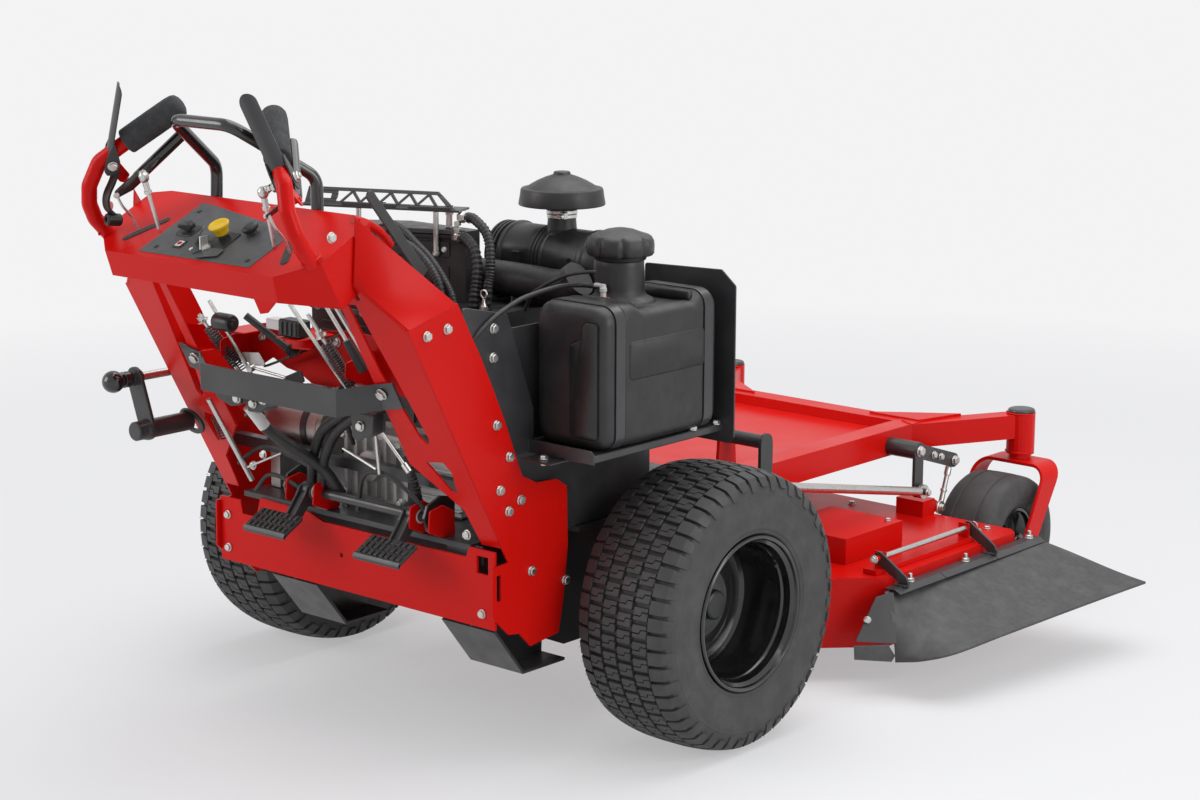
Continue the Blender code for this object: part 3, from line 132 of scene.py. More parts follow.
floor_paint = bpy.data.materials.new("studio_floor")
floor_paint.use_nodes = True
floor_shade = floor_paint.node_tree.nodes["Principled BSDF"]
floor_shade.inputs["Base Color"].default_value = PALE
floor_shade.inputs["Roughness"].default_value = 0.95
floor_shade.inputs["Specular IOR Level"].default_value = 0.1
nodes = floor_paint.node_tree.nodes
links = floor_paint.node_tree.links
glow = nodes.new("ShaderNodeEmission")
glow.inputs["Color"].default_value = PALE
glow.inputs["Strength"].default_value = 1.08
where = nodes.new("ShaderNodeNewGeometry")
reach = nodes.new("ShaderNodeVectorMath")
reach.operation = "LENGTH"
links.new(where.outputs["Position"], reach.inputs[0])
fade = nodes.new("ShaderNodeMapRange")
for socket, value in (("From Min", 1.0), ("From Max", 5.0), ("To Min", 0.45), ("To Max", 1.0)):
    fade.inputs[socket].default_value = value
links.new(reach.outputs["Value"], fade.inputs["Value"])
share = nodes.new("ShaderNodeMath")
share.operation = "MULTIPLY"
links.new(fade.outputs["Result"], share.inputs[0])
links.new(seen_by_camera(nodes, links), share.inputs[1])
pale_floor = nodes.new("ShaderNodeMixShader")
links.new(share.outputs[0], pale_floor.inputs["Fac"])
links.new(floor_shade.outputs[0], pale_floor.inputs[1])
links.new(glow.outputs[0], pale_floor.inputs[2])
links.new(pale_floor.outputs[0], nodes["Material Output"].inputs["Surface"])
floor_mesh = bpy.data.meshes.new("studio_floor")
FLOOR_REACH = 120
corners = [(-FLOOR_REACH, -FLOOR_REACH, 0), (FLOOR_REACH, -FLOOR_REACH, 0), (FLOOR_REACH, FLOOR_REACH, 0),
           (-FLOOR_REACH, FLOOR_REACH, 0)]
floor_mesh.from_pydata(corners, [], [(0, 1, 2, 3)])
floor_mesh.materials.append(floor_paint)
floor = bpy.data.objects.new("studio_floor", floor_mesh)
bpy.context.scene.collection.objects.link(floor)

LAMPS = {"overhead": ((0.4, 0.6, 3.6), 3.6, 92), "rear_left": ((-3.2, -4.6, 2.6), 2.8, 95),
         "right_side": ((5.0, 0.2, 2.4), 2.6, 80)}
for name, (spot, size, watts) in LAMPS.items():
    lamp_data = bpy.data.lights.new(name, "AREA")
    lamp_data.size = size
    lamp_data.energy = watts
    lamp = bpy.data.objects.new(name, lamp_data)
    lamp.location = spot
    lamp.rotation_euler = (Vector((0, 0.2, 0.5)) - Vector(spot)).to_track_quat("-Z", "Y").to_euler()
    bpy.context.scene.collection.objects.link(lamp)
bpy.context.scene.view_settings.view_transform = "Standard"
print("lamps", list(LAMPS))

# %% [markdown]
# ## Finishes
# Almost everything here is powder-coated steel, rubber or moulded plastic. None of them is one flat
# colour: powder melts into a fine orange peel, rubber is greyer where the mould was dusty, castings are
# sandy. One recipe makes them all. Two noises at real scale drive colour, roughness and bump, and the
# Bevel node rounds the edges of the folded sheets, as a coat of paint does, and shows where the paint
# thins on them. Object coordinates are metres, so a grain size can be given as a length.

# %% The recipe for a finish
def finish(name, colour, worn, rough, metal=0.0, grain=0.002, depth=0.0001, patch=0.12, coat=0.0,
           edge=0.0012, spread=0.08, speckle=False, gloss=0.5):
    """A node material. Colour drifts towards worn in patches and on edges; grain is the bump's size."""
    made = bpy.data.materials.new(name)
    made.use_nodes = True
    nodes = made.node_tree.nodes
    links = made.node_tree.links
    surface = nodes["Principled BSDF"]
    surface.inputs["Metallic"].default_value = metal
    surface.inputs["Coat Weight"].default_value = coat
    surface.inputs["Coat Roughness"].default_value = 0.12
    surface.inputs["Specular IOR Level"].default_value = gloss
    place = nodes.new("ShaderNodeTexCoord")

    def noise(size, detail):
        made_noise = nodes.new("ShaderNodeTexNoise")
        made_noise.inputs["Scale"].default_value = 1 / size
        made_noise.inputs["Detail"].default_value = detail
        links.new(place.outputs["Object"], made_noise.inputs["Vector"])
        return made_noise.outputs["Fac"]

    def remap(value, low, high, to_low, to_high):
        ramp = nodes.new("ShaderNodeMapRange")
        ramp.inputs["From Min"].default_value = low
        ramp.inputs["From Max"].default_value = high
        ramp.inputs["To Min"].default_value = to_low
        ramp.inputs["To Max"].default_value = to_high
        links.new(value, ramp.inputs["Value"])
        return ramp.outputs["Result"]

    patches = noise(patch, 5)
    wear = remap(patches, 0.42, 0.75, 0, 0.55)
    round_edge = nodes.new("ShaderNodeBevel")
    round_edge.samples = 4
    round_edge.inputs["Radius"].default_value = edge
    flat = nodes.new("ShaderNodeNewGeometry")
    turn_of = nodes.new("ShaderNodeVectorMath")
    turn_of.operation = "DOT_PRODUCT"
    links.new(round_edge.outputs["Normal"], turn_of.inputs[0])
    links.new(flat.outputs["Normal"], turn_of.inputs[1])
    on_edge = remap(turn_of.outputs["Value"], 0.985, 0.8, 0, 0.6)
    both = nodes.new("ShaderNodeMath")
    both.operation = "MAXIMUM"
    links.new(wear, both.inputs[0])
    links.new(on_edge, both.inputs[1])
    blend = nodes.new("ShaderNodeMix")
    blend.data_type = "RGBA"
    blend.inputs["A"].default_value = (*colour, 1)
    blend.inputs["B"].default_value = (*worn, 1)
    links.new(both.outputs[0], blend.inputs["Factor"])
    links.new(blend.outputs["Result"], surface.inputs["Base Color"])
    smudge = remap(noise(patch / 3, 3), 0.3, 0.7, rough - spread, rough + spread)
    links.new(smudge, surface.inputs["Roughness"])
    if speckle:
        cells = nodes.new("ShaderNodeTexVoronoi")
        cells.inputs["Scale"].default_value = 1 / grain
        links.new(place.outputs["Object"], cells.inputs["Vector"])
        fine = cells.outputs["Distance"]
    else:
        fine = noise(grain, 2)
    bump = nodes.new("ShaderNodeBump")
    bump.inputs["Distance"].default_value = depth
    bump.inputs["Strength"].default_value = 1
    links.new(fine, bump.inputs["Height"])
    links.new(round_edge.outputs["Normal"], bump.inputs["Normal"])
    links.new(bump.outputs["Normal"], surface.inputs["Normal"])
    return made


# %% [markdown]
# The palette. Red and black powder coat are glossy under a thin clear layer. Tyre rubber is dark grey
# rather than black, foam is matt with open cells, the tank has a pebbled mould skin, and zinc plate is
# a soft pale metal. The clean studio machine shows little wear, so worn tones stay close to the first. The
# CAD nodes that stay in sight get their finish here.

# %% The palette
RED = finish("red_powder_coat", (0.64, 0.005, 0.003), (0.69, 0.009, 0.005), 0.32, depth=0.00003, patch=0.5,
             coat=0.03, edge=0.0016, spread=0.05, gloss=0.14)
BLACK = finish("black_powder_coat", (0.03, 0.03, 0.032), (0.062, 0.062, 0.064), 0.38, depth=0.00005,
               coat=0.15)
GLOSS = finish("gloss_black_paint", (0.008, 0.008, 0.009), (0.03, 0.03, 0.03), 0.22, depth=0.00003,
               coat=0.6)
RUBBER = finish("tyre_rubber", (0.044, 0.044, 0.045), (0.082, 0.081, 0.079), 0.62, grain=0.0012,
                depth=0.00012, patch=0.05)
MAT = finish("chute_rubber", (0.062, 0.062, 0.064), (0.115, 0.114, 0.112), 0.6, grain=0.0016,
             depth=0.00016, patch=0.04)
SLEEVE = finish("hose_rubber", (0.014, 0.014, 0.015), (0.04, 0.04, 0.04), 0.48, grain=0.001,
                depth=0.00008, patch=0.03)
FOAM = finish("foam_rubber", (0.04, 0.041, 0.043), (0.085, 0.085, 0.088), 0.88, grain=0.0011,
              depth=0.0004, patch=0.02, speckle=True)
PEBBLED = finish("pebbled_plastic", (0.014, 0.014, 0.015), (0.035, 0.035, 0.036), 0.42, grain=0.0016,
                 depth=0.00022, patch=0.06, edge=0.003, speckle=True)
PLASTIC = finish("moulded_plastic", (0.016, 0.016, 0.017), (0.045, 0.045, 0.046), 0.38, grain=0.0015,
                 depth=0.00006, patch=0.08)
ZINC = finish("zinc_plate", (0.62, 0.62, 0.6), (0.5, 0.48, 0.42), 0.33, metal=1.0, grain=0.0008,
              depth=0.00004, patch=0.01)
CASTING = finish("sand_casting", (0.56, 0.56, 0.55), (0.4, 0.4, 0.39), 0.55, metal=0.75, grain=0.0018,
                 depth=0.00035, patch=0.04)
BAKED = finish("baked_steel", (0.42, 0.41, 0.39), (0.26, 0.22, 0.17), 0.42, metal=0.9, grain=0.001,
               depth=0.00006, patch=0.05)
YELLOW = finish("yellow_plastic", (0.86, 0.55, 0.01), (0.75, 0.42, 0.01), 0.36, depth=0.00004, patch=0.02)
ORANGE = finish("orange_rubber", (0.75, 0.16, 0.03), (0.6, 0.12, 0.03), 0.5, grain=0.001, patch=0.01)
WHITE = finish("white_plastic", (0.72, 0.72, 0.7), (0.6, 0.6, 0.57), 0.42, depth=0.00004, patch=0.03)
SLATE = finish("grey_panel_film", (0.075, 0.077, 0.08), (0.11, 0.11, 0.112), 0.45, grain=0.0009,
               depth=0.00005, patch=0.05)

KEPT = {RED: "front_frame upright_left upright_right rear_bumper control_console deck_shell "
             "belt_cover_left belt_cover_right chute_bracket",
        BLACK: "engine_frame cross_bar cross_strap lift_shaft front_crank_left front_crank_right "
               "spindle_blade_left spindle_blade_middle spindle_blade_right",
        PLASTIC: "engine_shroud",
        ZINC: "push_rod_left push_rod_right ignition_key",
        CASTING: "engine_block wheel_motor_left wheel_motor_right"}
for coat_of, names in KEPT.items():
    for name in names.split():
        for place_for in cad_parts[name].material_slots:
            place_for.material = coat_of
print("finished", sum(len(names.split()) for names in KEPT.values()), "CAD nodes")

# %% [markdown]
# ## Tools of the workshop
# Most real pieces here come from three processes: they are turned on an axis, swept along a path, or
# cut from plate. A small mesh builder stands for each. They all add closed shells to one bmesh form, so
# a piece may hold many fasteners, and piece() turns the form into an object, moves it from the drawing
# into the frame, shades it smooth up to a crease angle and lets it ride on its CAD body. Single measures
# are metres. Tables of points read better in millimetres, and mm() turns them into metres.

# %% From a form to a piece that rides
def piece(name, form, paint, body="machine", crease=32, stands_for=()):
    """Closes the form into an object in the frame and gives it its finish and body."""
    bmesh.ops.recalc_face_normals(form, faces=form.faces)
    mesh = bpy.data.meshes.new(name)
    form.to_mesh(mesh)
    form.free()
    mesh.transform(Matrix.Translation(ORIGIN))
    mesh.materials.append(paint)
    for facet in mesh.polygons:
        facet.use_smooth = True
    mesh.set_sharp_from_angle(angle=math.radians(crease))
    made = bpy.data.objects.new(name, mesh)
    bpy.context.scene.collection.objects.link(made)
    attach(made, body)
    if stands_for:
        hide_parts(*stands_for)
    return made


# %% Tables in millimetres, and rings of corners joined by faces
def mm(*points):
    """Points written in millimetres, given in metres."""
    return [tuple(number / 1000 for number in point) for point in points]


def bridge(form, rings):
    """Joins each ring of corners to the next one by a band of faces."""
    for first, second in zip(rings, rings[1:]):
        for k in range(len(first)):
            m = (k + 1) % len(first)
            form.faces.new((first[k], first[m], second[m], second[k]))


def bridge_and_close(form, rings):
    """The same, with both ends filled."""
    bridge(form, rings)
    form.faces.new(rings[0])
    form.faces.new(list(reversed(rings[-1])))


# %% Turned: a profile of (distance along the axis, radius) spun round it
def across(axis):
    """Two directions square to an axis, the same ones for every call."""
    side = Vector((0, 0, 1)) if abs(axis.z) < 0.9 else Vector((0, 1, 0))
    side = (side - axis * side.dot(axis)).normalized()
    return side, axis.cross(side)


def turned(form, profile, centre, axis, sides=32, wave=None):
    """Spins the profile. wave(angle, along) may scale the radius, for lobes and knurls."""
    axis = Vector(axis).normalized()
    side, up = across(axis)
    centre = Vector(centre)
    rings = []
    for along, radius in profile:
        if radius == 0:
            rings.append([form.verts.new(centre + axis * along)] * sides)
            continue
        ring = []
        for k in range(sides):
            angle = 2 * math.pi * k / sides
            reach = radius * (wave(angle, along) if wave else 1)
            ring.append(form.verts.new(centre + axis * along
                                       + (side * math.cos(angle) + up * math.sin(angle)) * reach))
        rings.append(ring)
    if profile[0][1] != 0:
        rings.append(rings[0])
    for first, second in zip(rings, rings[1:]):
        for k in range(sides):
            m = (k + 1) % sides
            corners = list(dict.fromkeys((first[k], first[m], second[m], second[k])))
            form.faces.new(corners)


# %% Swept: a round or flat section drawn along a smooth path
def smooth(points, steps=8):
    """A curve through all the points, without corners."""
    points = [Vector(p) for p in points]
    ends = [points[0] * 2 - points[1], *points, points[-1] * 2 - points[-2]]
    path = []
    for a, b, c, d in zip(ends, ends[1:], ends[2:], ends[3:]):
        for k in range(steps):
            t = k / steps
            path.append(0.5 * (b * 2 + (c - a) * t + (a * 2 - b * 5 + c * 4 - d) * t ** 2
                               + (b * 3 - a - c * 3 + d) * t ** 3))
    return [*path, points[-1]]


def swept(form, path, section):
    """Draws a ring of offsets along the path. section(share) gives (sideways, upwards) pairs."""
    path = [Vector(p) for p in path]
    side = None
    rings = []
    for i, point in enumerate(path):
        along = (path[min(i + 1, len(path) - 1)] - path[max(i - 1, 0)]).normalized()
        if side is None:
            side = across(along)[1]
        side = (side - along * side.dot(along)).normalized()
        up = side.cross(along)
        rings.append([form.verts.new(point + side * a + up * b) for a, b in section(i / (len(path) - 1))])
    bridge_and_close(form, rings)


def round_bar(radius, sides=12):
    """A round section for swept(). The radius may be a number or a function of the share of the path."""
    def section(share):
        reach = radius(share) if callable(radius) else radius
        return [(reach * math.cos(2 * math.pi * k / sides), reach * math.sin(2 * math.pi * k / sides))
                for k in range(sides)]
    return section


def coil(form, start, end, radius, wire, turns):
    """A helical spring between two points, with its last turns closed up as ground springs are."""
    start = Vector(start)
    end = Vector(end)
    axis = (end - start).normalized()
    side, up = across(axis)
    steps = int(turns * 14)
    path = []
    for i in range(steps + 1):
        share = i / steps
        angle = 2 * math.pi * turns * share
        rise = share + 0.02 * math.sin(2 * math.pi * share)
        path.append(start + (end - start) * min(max(rise, 0), 1)
                    + (side * math.cos(angle) + up * math.sin(angle)) * radius)
    swept(form, path, round_bar(wire / 2, 6))


# %% Cut from plate: an outline pushed through a thickness, with eased edges
def plate(form, outline, push, ease=0.0008):
    """A plate through 3-D outline points, thickened by the vector push. ease breaks the sharp edges."""
    outline = [Vector(p) for p in outline]
    push = Vector(push)
    normal = push.normalized()
    count = len(outline)
    turning = sum((a.cross(b) for a, b in zip(outline, outline[1:] + outline[:1])), Vector())
    hand = 1 if turning.dot(normal) > 0 else -1
    drawn_in = []
    for i, point in enumerate(outline):
        before = normal.cross((point - outline[i - 1]).normalized()) * hand
        after = normal.cross((outline[(i + 1) % count] - point).normalized()) * hand
        drawn_in.append(point + (before + after) / max(1 + before.dot(after), 0.4) * ease)
    lift = normal * ease
    rings = []
    for ring, shift in ((drawn_in, Vector()), (outline, lift), (outline, push - lift), (drawn_in, push)):
        rings.append([form.verts.new(point + shift) for point in ring])
    bridge_and_close(form, rings)


def eased(outline, radius, steps=4, closed=True):
    """The outline with its corners replaced by arcs."""
    outline = [Vector(p) for p in outline]
    count = len(outline)
    path = []
    for i, corner in enumerate(outline):
        if not closed and i in (0, count - 1):
            path.append(corner)
            continue
        to_last = outline[i - 1] - corner
        to_next = outline[(i + 1) % count] - corner
        half = to_last.angle(to_next) / 2
        back = min(radius / math.tan(half), 0.46 * to_last.length, 0.46 * to_next.length)
        start = corner + to_last.normalized() * back
        end = corner + to_next.normalized() * back
        for k in range(steps + 1):
            t = k / steps
            path.append(start * (1 - t) ** 2 + corner * 2 * t * (1 - t) + end * t ** 2)
    return path


def block(form, low, high, ease=0.001):
    """A plain bar or block between two corners, with eased edges."""
    outline = [(low[0], low[1], low[2]), (high[0], low[1], low[2]), (high[0], high[1], low[2]),
               (low[0], high[1], low[2])]
    plate(form, outline, (0, 0, high[2] - low[2]), ease)


# %% Bought parts: hexagon bolts, with washer, chamfered head and a nut on the far side when asked
def bolt(form, point, way, size=0.01, washer=True, stub=0.0):
    """A bolt head that stands on point and looks along way. size is the thread's diameter."""
    way = Vector(way).normalized()
    point = Vector(point)
    rise = 0.0
    if washer:
        turned(form, ((0, 0), (0, size * 1.02), (size * 0.05, size * 1.08), (size * 0.18, size * 1.08),
                      (size * 0.22, size * 1.02), (size * 0.22, 0)), point, way, 20)
        rise = size * 0.22
    head = size * 0.92
    height = size * 0.62
    turned(form, ((0, 0), (0, head), (height * 0.8, head), (height, head * 0.84), (height, 0)),
           point + way * rise, way, 6)
    if stub:
        turned(form, ((0, 0), (0, size * 0.48), (stub - size * 0.08, size * 0.48), (stub, size * 0.38),
                      (stub, 0)), point + way * (rise + height), way, 12)


def bolts(name, spots, body="machine"):
    """Many bolts in one piece. Each spot is (point, way) or (point, way, size[, stub])."""
    form = bmesh.new()
    for point, way, *rest in spots:
        bolt(form, point, way, *rest[:1], stub=rest[1] if len(rest) > 1 else 0)
    piece(name, form, ZINC, body, 25)
    print(name, len(spots), "bolts on", body)

# %% [markdown]
# ## Drive tyres
# A turf tyre is a smooth carcass with rows of low blocks. The tread is what everyone sees, so it is real
# geometry here. Six columns of blocks, each a brick cut by a Z-shaped sipe, stand on the carcass, and
# neighbouring columns are shifted by half a block, as the mould cuts them. The outermost columns wrap
# over the shoulder as lugs. A texture would go flat at the outline, blocks don't.

# %% The carcass and its section
WHEEL_X = 0.598
TREAD_HALF = 0.112
ROWS = 52
ROW = 2 * math.pi / ROWS
GROOVE_DEPTH = 0.01


def crown(x):
    """Radius of the tread's top at a distance x from the wheel's middle."""
    return TYRE_R - 0.001 - 0.013 * (abs(x) / TREAD_HALF) ** 3


def carcass_profile():
    """One side of the tyre, from the bead up over the shoulder, mirrored for the other side."""
    half = mm((90, 161), (105, 165), (112.5, 170), (116.5, 182), (118.5, 202), (120, 228), (120.2, 246),
              (118.5, 264), (114, 278))
    raised = mm((172, 1.8), (181, 0.9), (206, 0.7), (252, 1))
    side = []
    for (x0, r0), (x1, r1) in zip(half, half[1:]):
        for k in range(6):
            t = k / 6
            x = x0 + (x1 - x0) * t
            r = r0 + (r1 - r0) * t
            for start, reach in raised:
                if start < r < start + 0.005:
                    x += reach
            side.append((x, r))
    side.append(half[-1])
    top = [(x, crown(x) - GROOVE_DEPTH) for x in (0.108, 0.09, 0.06, 0.03, 0.0)]
    right = side + top
    return right + [(-x, r) for x, r in reversed(right[:-1])]


print("tyre profile points", len(carcass_profile()))

# %% Tread blocks
SIPE = 0.001
COLUMNS = ((-0.06, 0.0), (-0.02, 0.5), (0.02, 0.0), (0.06, 0.5))


def on_tread(x, angle, radius, middle_x):
    return Vector((middle_x + x, math.sin(angle) * radius, TYRE_R - math.cos(angle) * radius))


def tread_block(form, outline, middle_x, angle, hand):
    """A block that stands on the carcass: outline in (across, around) metres, drawn in at the top."""
    middle = (sum(a for a, b in outline) / len(outline), sum(b for a, b in outline) / len(outline))
    rings = []
    for drop, share in ((GROOVE_DEPTH + 0.001, 1.05), (0.0009, 1.0), (0.0, 0.95)):
        ring = []
        for a, b in outline:
            x = (middle[0] + (a - middle[0]) * share) * hand
            around = middle[1] + (b - middle[1]) * share
            ring.append(form.verts.new(on_tread(x, angle + around / TYRE_R, crown(x) - drop, middle_x)))
        rings.append(ring)
    bridge(form, rings)
    form.faces.new(rings[-1])


def brick(x, half_wide=0.017, half_long=0.0136):
    """The two halves of one block, parted by a Z-shaped sipe."""
    step = 0.0042
    low = -half_long
    high = half_long
    left = x - half_wide
    right = x + half_wide
    bevel = 0.0022
    first = [(left, low + bevel), (left + bevel, low), (right - 0.001, low), (right, low + 0.001),
             (right, -step - SIPE), (x + step, -step - SIPE), (x + step * 0.2 - SIPE, step - SIPE),
             (left, step - SIPE)]
    second = [(right, high - bevel), (right - bevel, high), (left + 0.001, high), (left, high - 0.001),
              (left, step + SIPE), (x + step * 0.2 + SIPE * 0.4, step + SIPE),
              (x + step + SIPE, -step + SIPE), (right, -step + SIPE)]
    return first, second


def shoulder_lug(form, middle_x, angle, hand, long_one):
    """A lug from the tread's edge down over the shoulder, in stations along the section."""
    low_r = 0.262 if long_one else 0.272
    stations = [(0.08, crown(0.08)), (0.098, crown(0.098)), (0.109, crown(0.109) - 0.0008),
                (0.1165, 0.28), (0.1205, low_r)]
    around = (0.014, 0.0146, 0.0142, 0.0128, 0.01)
    tops = []
    bases = []
    for (x, radius), wide in zip(stations, around):
        out = 0.0 if x < 0.1 else 0.0009
        tops.append([on_tread((x + out) * hand, angle + side * wide / TYRE_R, radius, middle_x)
                     for side in (-1, 1)])
        inset = (x - 0.01, radius - 0.002) if x > 0.112 else (x - 0.002, radius - GROOVE_DEPTH - 0.001)
        bases.append([on_tread(inset[0] * hand, angle + side * (wide + 0.0008) / TYRE_R, inset[1], middle_x)
                      for side in (-1, 1)])
    top = [[form.verts.new(p) for p in pair] for pair in tops]
    base = [[form.verts.new(p) for p in pair] for pair in bases]
    for i in range(len(top) - 1):
        form.faces.new((top[i][0], top[i + 1][0], top[i + 1][1], top[i][1]))
        form.faces.new((base[i][0], base[i + 1][0], top[i + 1][0], top[i][0]))
        form.faces.new((top[i][1], top[i + 1][1], base[i + 1][1], base[i][1]))
    form.faces.new((top[0][0], top[0][1], base[0][1], base[0][0]))
    form.faces.new((top[-1][0], base[-1][0], base[-1][1], top[-1][1]))


def drive_tyre(name, side):
    middle_x = side * WHEEL_X
    form = bmesh.new()
    turned(form, carcass_profile(), (middle_x, 0, TYRE_R), (1, 0, 0), 104)
    whiskers = random.Random(7)
    for row in range(ROWS):
        for x, shift in COLUMNS:
            for outline in brick(x):
                tread_block(form, outline, middle_x, (row + shift) * ROW, side)
        for hand, shift in ((-1, 0.5), (1, 0.0)):
            shoulder_lug(form, middle_x, (row + shift) * ROW, hand * side, row % 2 == 0)
        for hand in (-1, 1):
            if whiskers.random() < 0.4:
                angle = (row + 0.5) * ROW
                spot = on_tread(hand * 0.112, angle, 0.287, middle_x)
                out = Vector((hand * 0.5, math.sin(angle) * 0.7, -math.cos(angle) * 0.7))
                turned(form, mm((-1, 0), (-1, 0.6), (4.5, 0.4), (4.5, 0)), spot, out, 5)
    made = piece("turf_tyre_" + name, form, RUBBER, "drive_wheel_" + name, 28,
                 ("drive_tyre_" + name,))
    print(made.name, len(made.data.polygons), "faces")


for name, side in (("left", -1), ("right", 1)):
    drive_tyre(name, side)

# %% [markdown]
# ## Drive rims and wheel centres
# The CAD rim has flats that show in a gloss black barrel, so the rim is spun again with many sides. It
# has a rolled lip, a barrel that steps in once, and a disc far inside. The grey hub flange, its dust cap
# and the valve stem are bought parts, set into it one by one.

# %% Spin the rims
RIM_SECTION = mm((-30, 0), (-30, 145), (-110, 146), (-115, 150), (-119, 158), (-119, 165), (-115, 166),
                 (-109, 154), (106, 154), (109, 162), (111, 166), (114.5, 167.5), (117.2, 166.2),
                 (118.5, 163.5), (118.3, 160.8), (116.5, 159), (111, 157), (107, 153), (104, 150),
                 (96, 148.8), (90, 148.5), (86, 147), (83, 144.5), (78, 143), (30, 141.5), (0, 140.5),
                 (-12, 139), (-20, 133), (-23.5, 124), (-24, 115), (-23, 108), (-21.5, 104), (-21.5, 80),
                 (-22.5, 76), (-22.5, 0))
for name, side in (("left", -1), ("right", 1)):
    middle = Vector((side * WHEEL_X, 0, TYRE_R))
    out = Vector((side, 0, 0))
    ride_on = "drive_wheel_" + name
    rim = bmesh.new()
    turned(rim, RIM_SECTION, middle, out, 96)
    piece("wheel_rim_" + name, rim, GLOSS, ride_on, 22, ("drive_rim_" + name,))
    face = middle - out * 0.0226
    hub = bmesh.new()
    turned(hub, mm((0, 0), (0, 71), (3, 74), (12, 74), (15, 71), (16, 62), (20, 56), (24, 40), (25, 0)),
           face, out, 48)
    piece("wheel_hub_" + name, hub, SLATE, ride_on)
    dust_cap = bmesh.new()
    turned(dust_cap, mm((0, 0), (0, 33), (14, 32.5), (19, 31), (22, 27), (23, 0)), face + out * 0.0252,
           out, 40)
    piece("dust_cap_" + name, dust_cap, PLASTIC, ride_on)
    stem = bmesh.new()
    foot = middle + Vector((side * 0.07, math.sin(2.2) * 0.147, -math.cos(2.2) * 0.147))
    lean = (out - (foot - middle - out * 0.07).normalized() * 0.5).normalized()
    turned(stem, mm((-6, 0), (-6, 6.5), (4, 6), (10, 4), (22, 4), (23, 5.2), (30, 5.2), (32, 4), (32, 0)),
           foot, lean, 14)
    piece("valve_stem_" + name, stem, SLEEVE, ride_on)

# %% [markdown]
# ## Caster tyres
# The front tyres are smooth with two shallow grooves, so grass does not stick to them. They are turned
# from one profile. Three raised rings on the wall and a soft shoulder keep them from looking like discs.

# %% Turn the caster tyres
CASTER_X = 0.47
CASTER_R = 0.165
AXLE_Y = 1.325


def caster_profile():
    half = mm((52, 83), (64, 85), (72, 92), (77.5, 102), (78, 108), (80, 110), (81.5, 120), (81.5, 130),
              (79, 142), (74, 152), (66, 159), (56, 162.8), (42, 164), (37.5, 164), (35, 160.5),
              (32.5, 160.5), (30, 164.5), (15, 164.9), (0, 164.9))
    return half + [(-x, r) for x, r in reversed(half[:-1])]


for name, side in (("left", -1), ("right", 1)):
    tyre = bmesh.new()
    turned(tyre, caster_profile(), (side * CASTER_X, AXLE_Y, CASTER_R), (1, 0, 0), 72)
    piece("caster_tyre_" + name, tyre, RUBBER, "caster_roller_" + name, 24,
          ("caster_wheel_" + name,))
    rim = bmesh.new()
    for hand in (-1, 1):
        middle = (side * CASTER_X + hand * 0.01, AXLE_Y, CASTER_R)
        turned(rim, mm((0, 0), (0, 30), (10, 34), (12, 62), (30, 70), (36, 76), (45, 79), (49, 79),
                       (51, 76), (51, 83), (-6, 83), (-6, 0)), middle, (hand, 0, 0), 48)
        turned(rim, mm((0, 0), (0, 21), (64, 21), (66, 19), (66, 0)), middle, (hand, 0, 0), 24)
    piece("caster_rim_" + name, rim, GLOSS, "caster_roller_" + name, 24)
print("caster tyres made")

# %% [markdown]
# ## Fuel tank
# The tank is rotation-moulded: thick soft edges, a lobe at each end, a groove for each strap and a
# recess in the top where the neck stands. Such a body is easiest as a loft. Rounded rectangles stand
# one behind the other along Y, and each has its own four sides and corner radius. Where a section draws
# in a little, there is a groove.

# %% Loft the tank
TANK_X = (0.415, 0.605)
TANK_Z = (0.69, 0.983)
STRAP_Y = (-0.3, -0.02)
NECK_SPOT = Vector((0.475, -0.15, 0))


def rounded_ring(form, y, low_x, high_x, low_z, high_z, radius, dip=0.0):
    """One section of the loft. dip lowers the middle of the top edge."""
    ring = []
    for cx, cz, start in ((high_x - radius, high_z - radius, 0), (low_x + radius, high_z - radius, 90),
                          (low_x + radius, low_z + radius, 180), (high_x - radius, low_z + radius, 270)):
        for k in range(7):
            angle = math.radians(start + 15 * k)
            ring.append((cx + radius * math.cos(angle), cz + radius * math.sin(angle)))
        if start == 0:
            for k in range(1, 8):
                share = k / 8
                ring.append((high_x - radius + (low_x - high_x + 2 * radius) * share,
                             high_z - dip * math.sin(math.pi * share) ** 0.5))
    return [form.verts.new((x, y, z)) for x, z in ring]


tank = bmesh.new()
SECTIONS = mm((-350, 34, 20), (-349.2, 26, 24), (-347, 18, 28), (-343, 10, 32), (-338, 5, 34),
              (-330, 1.5, 35), (-320, 0, 35), (-316, 0.5, 34), (-314, 3.5, 32), (-286, 3.5, 32),
              (-284, 0.5, 32), (-280, 0, 30), (-250, 0, 28), (-220, 0, 26), (-180, 0, 26), (-130, 0, 26),
              (-80, 0, 26), (-60, 0, 28), (-40, 0, 30), (-36, 0.5, 32), (-34, 3.5, 32), (-6, 3.5, 32),
              (-4, 0.5, 34), (0, 1, 34), (8, 6, 32), (14, 13, 28), (18, 22, 24), (20, 34, 20))
rings = []
for y, inset, radius in SECTIONS:
    floor_of_recess = 0.018 if -0.24 < y < -0.05 else 0.0
    rings.append(rounded_ring(tank, y, TANK_X[0] + inset, TANK_X[1] - inset, TANK_Z[0] + inset,
                              TANK_Z[1] - inset - floor_of_recess, radius, 0.004 if floor_of_recess else 0.0))
bridge_and_close(tank, rings)

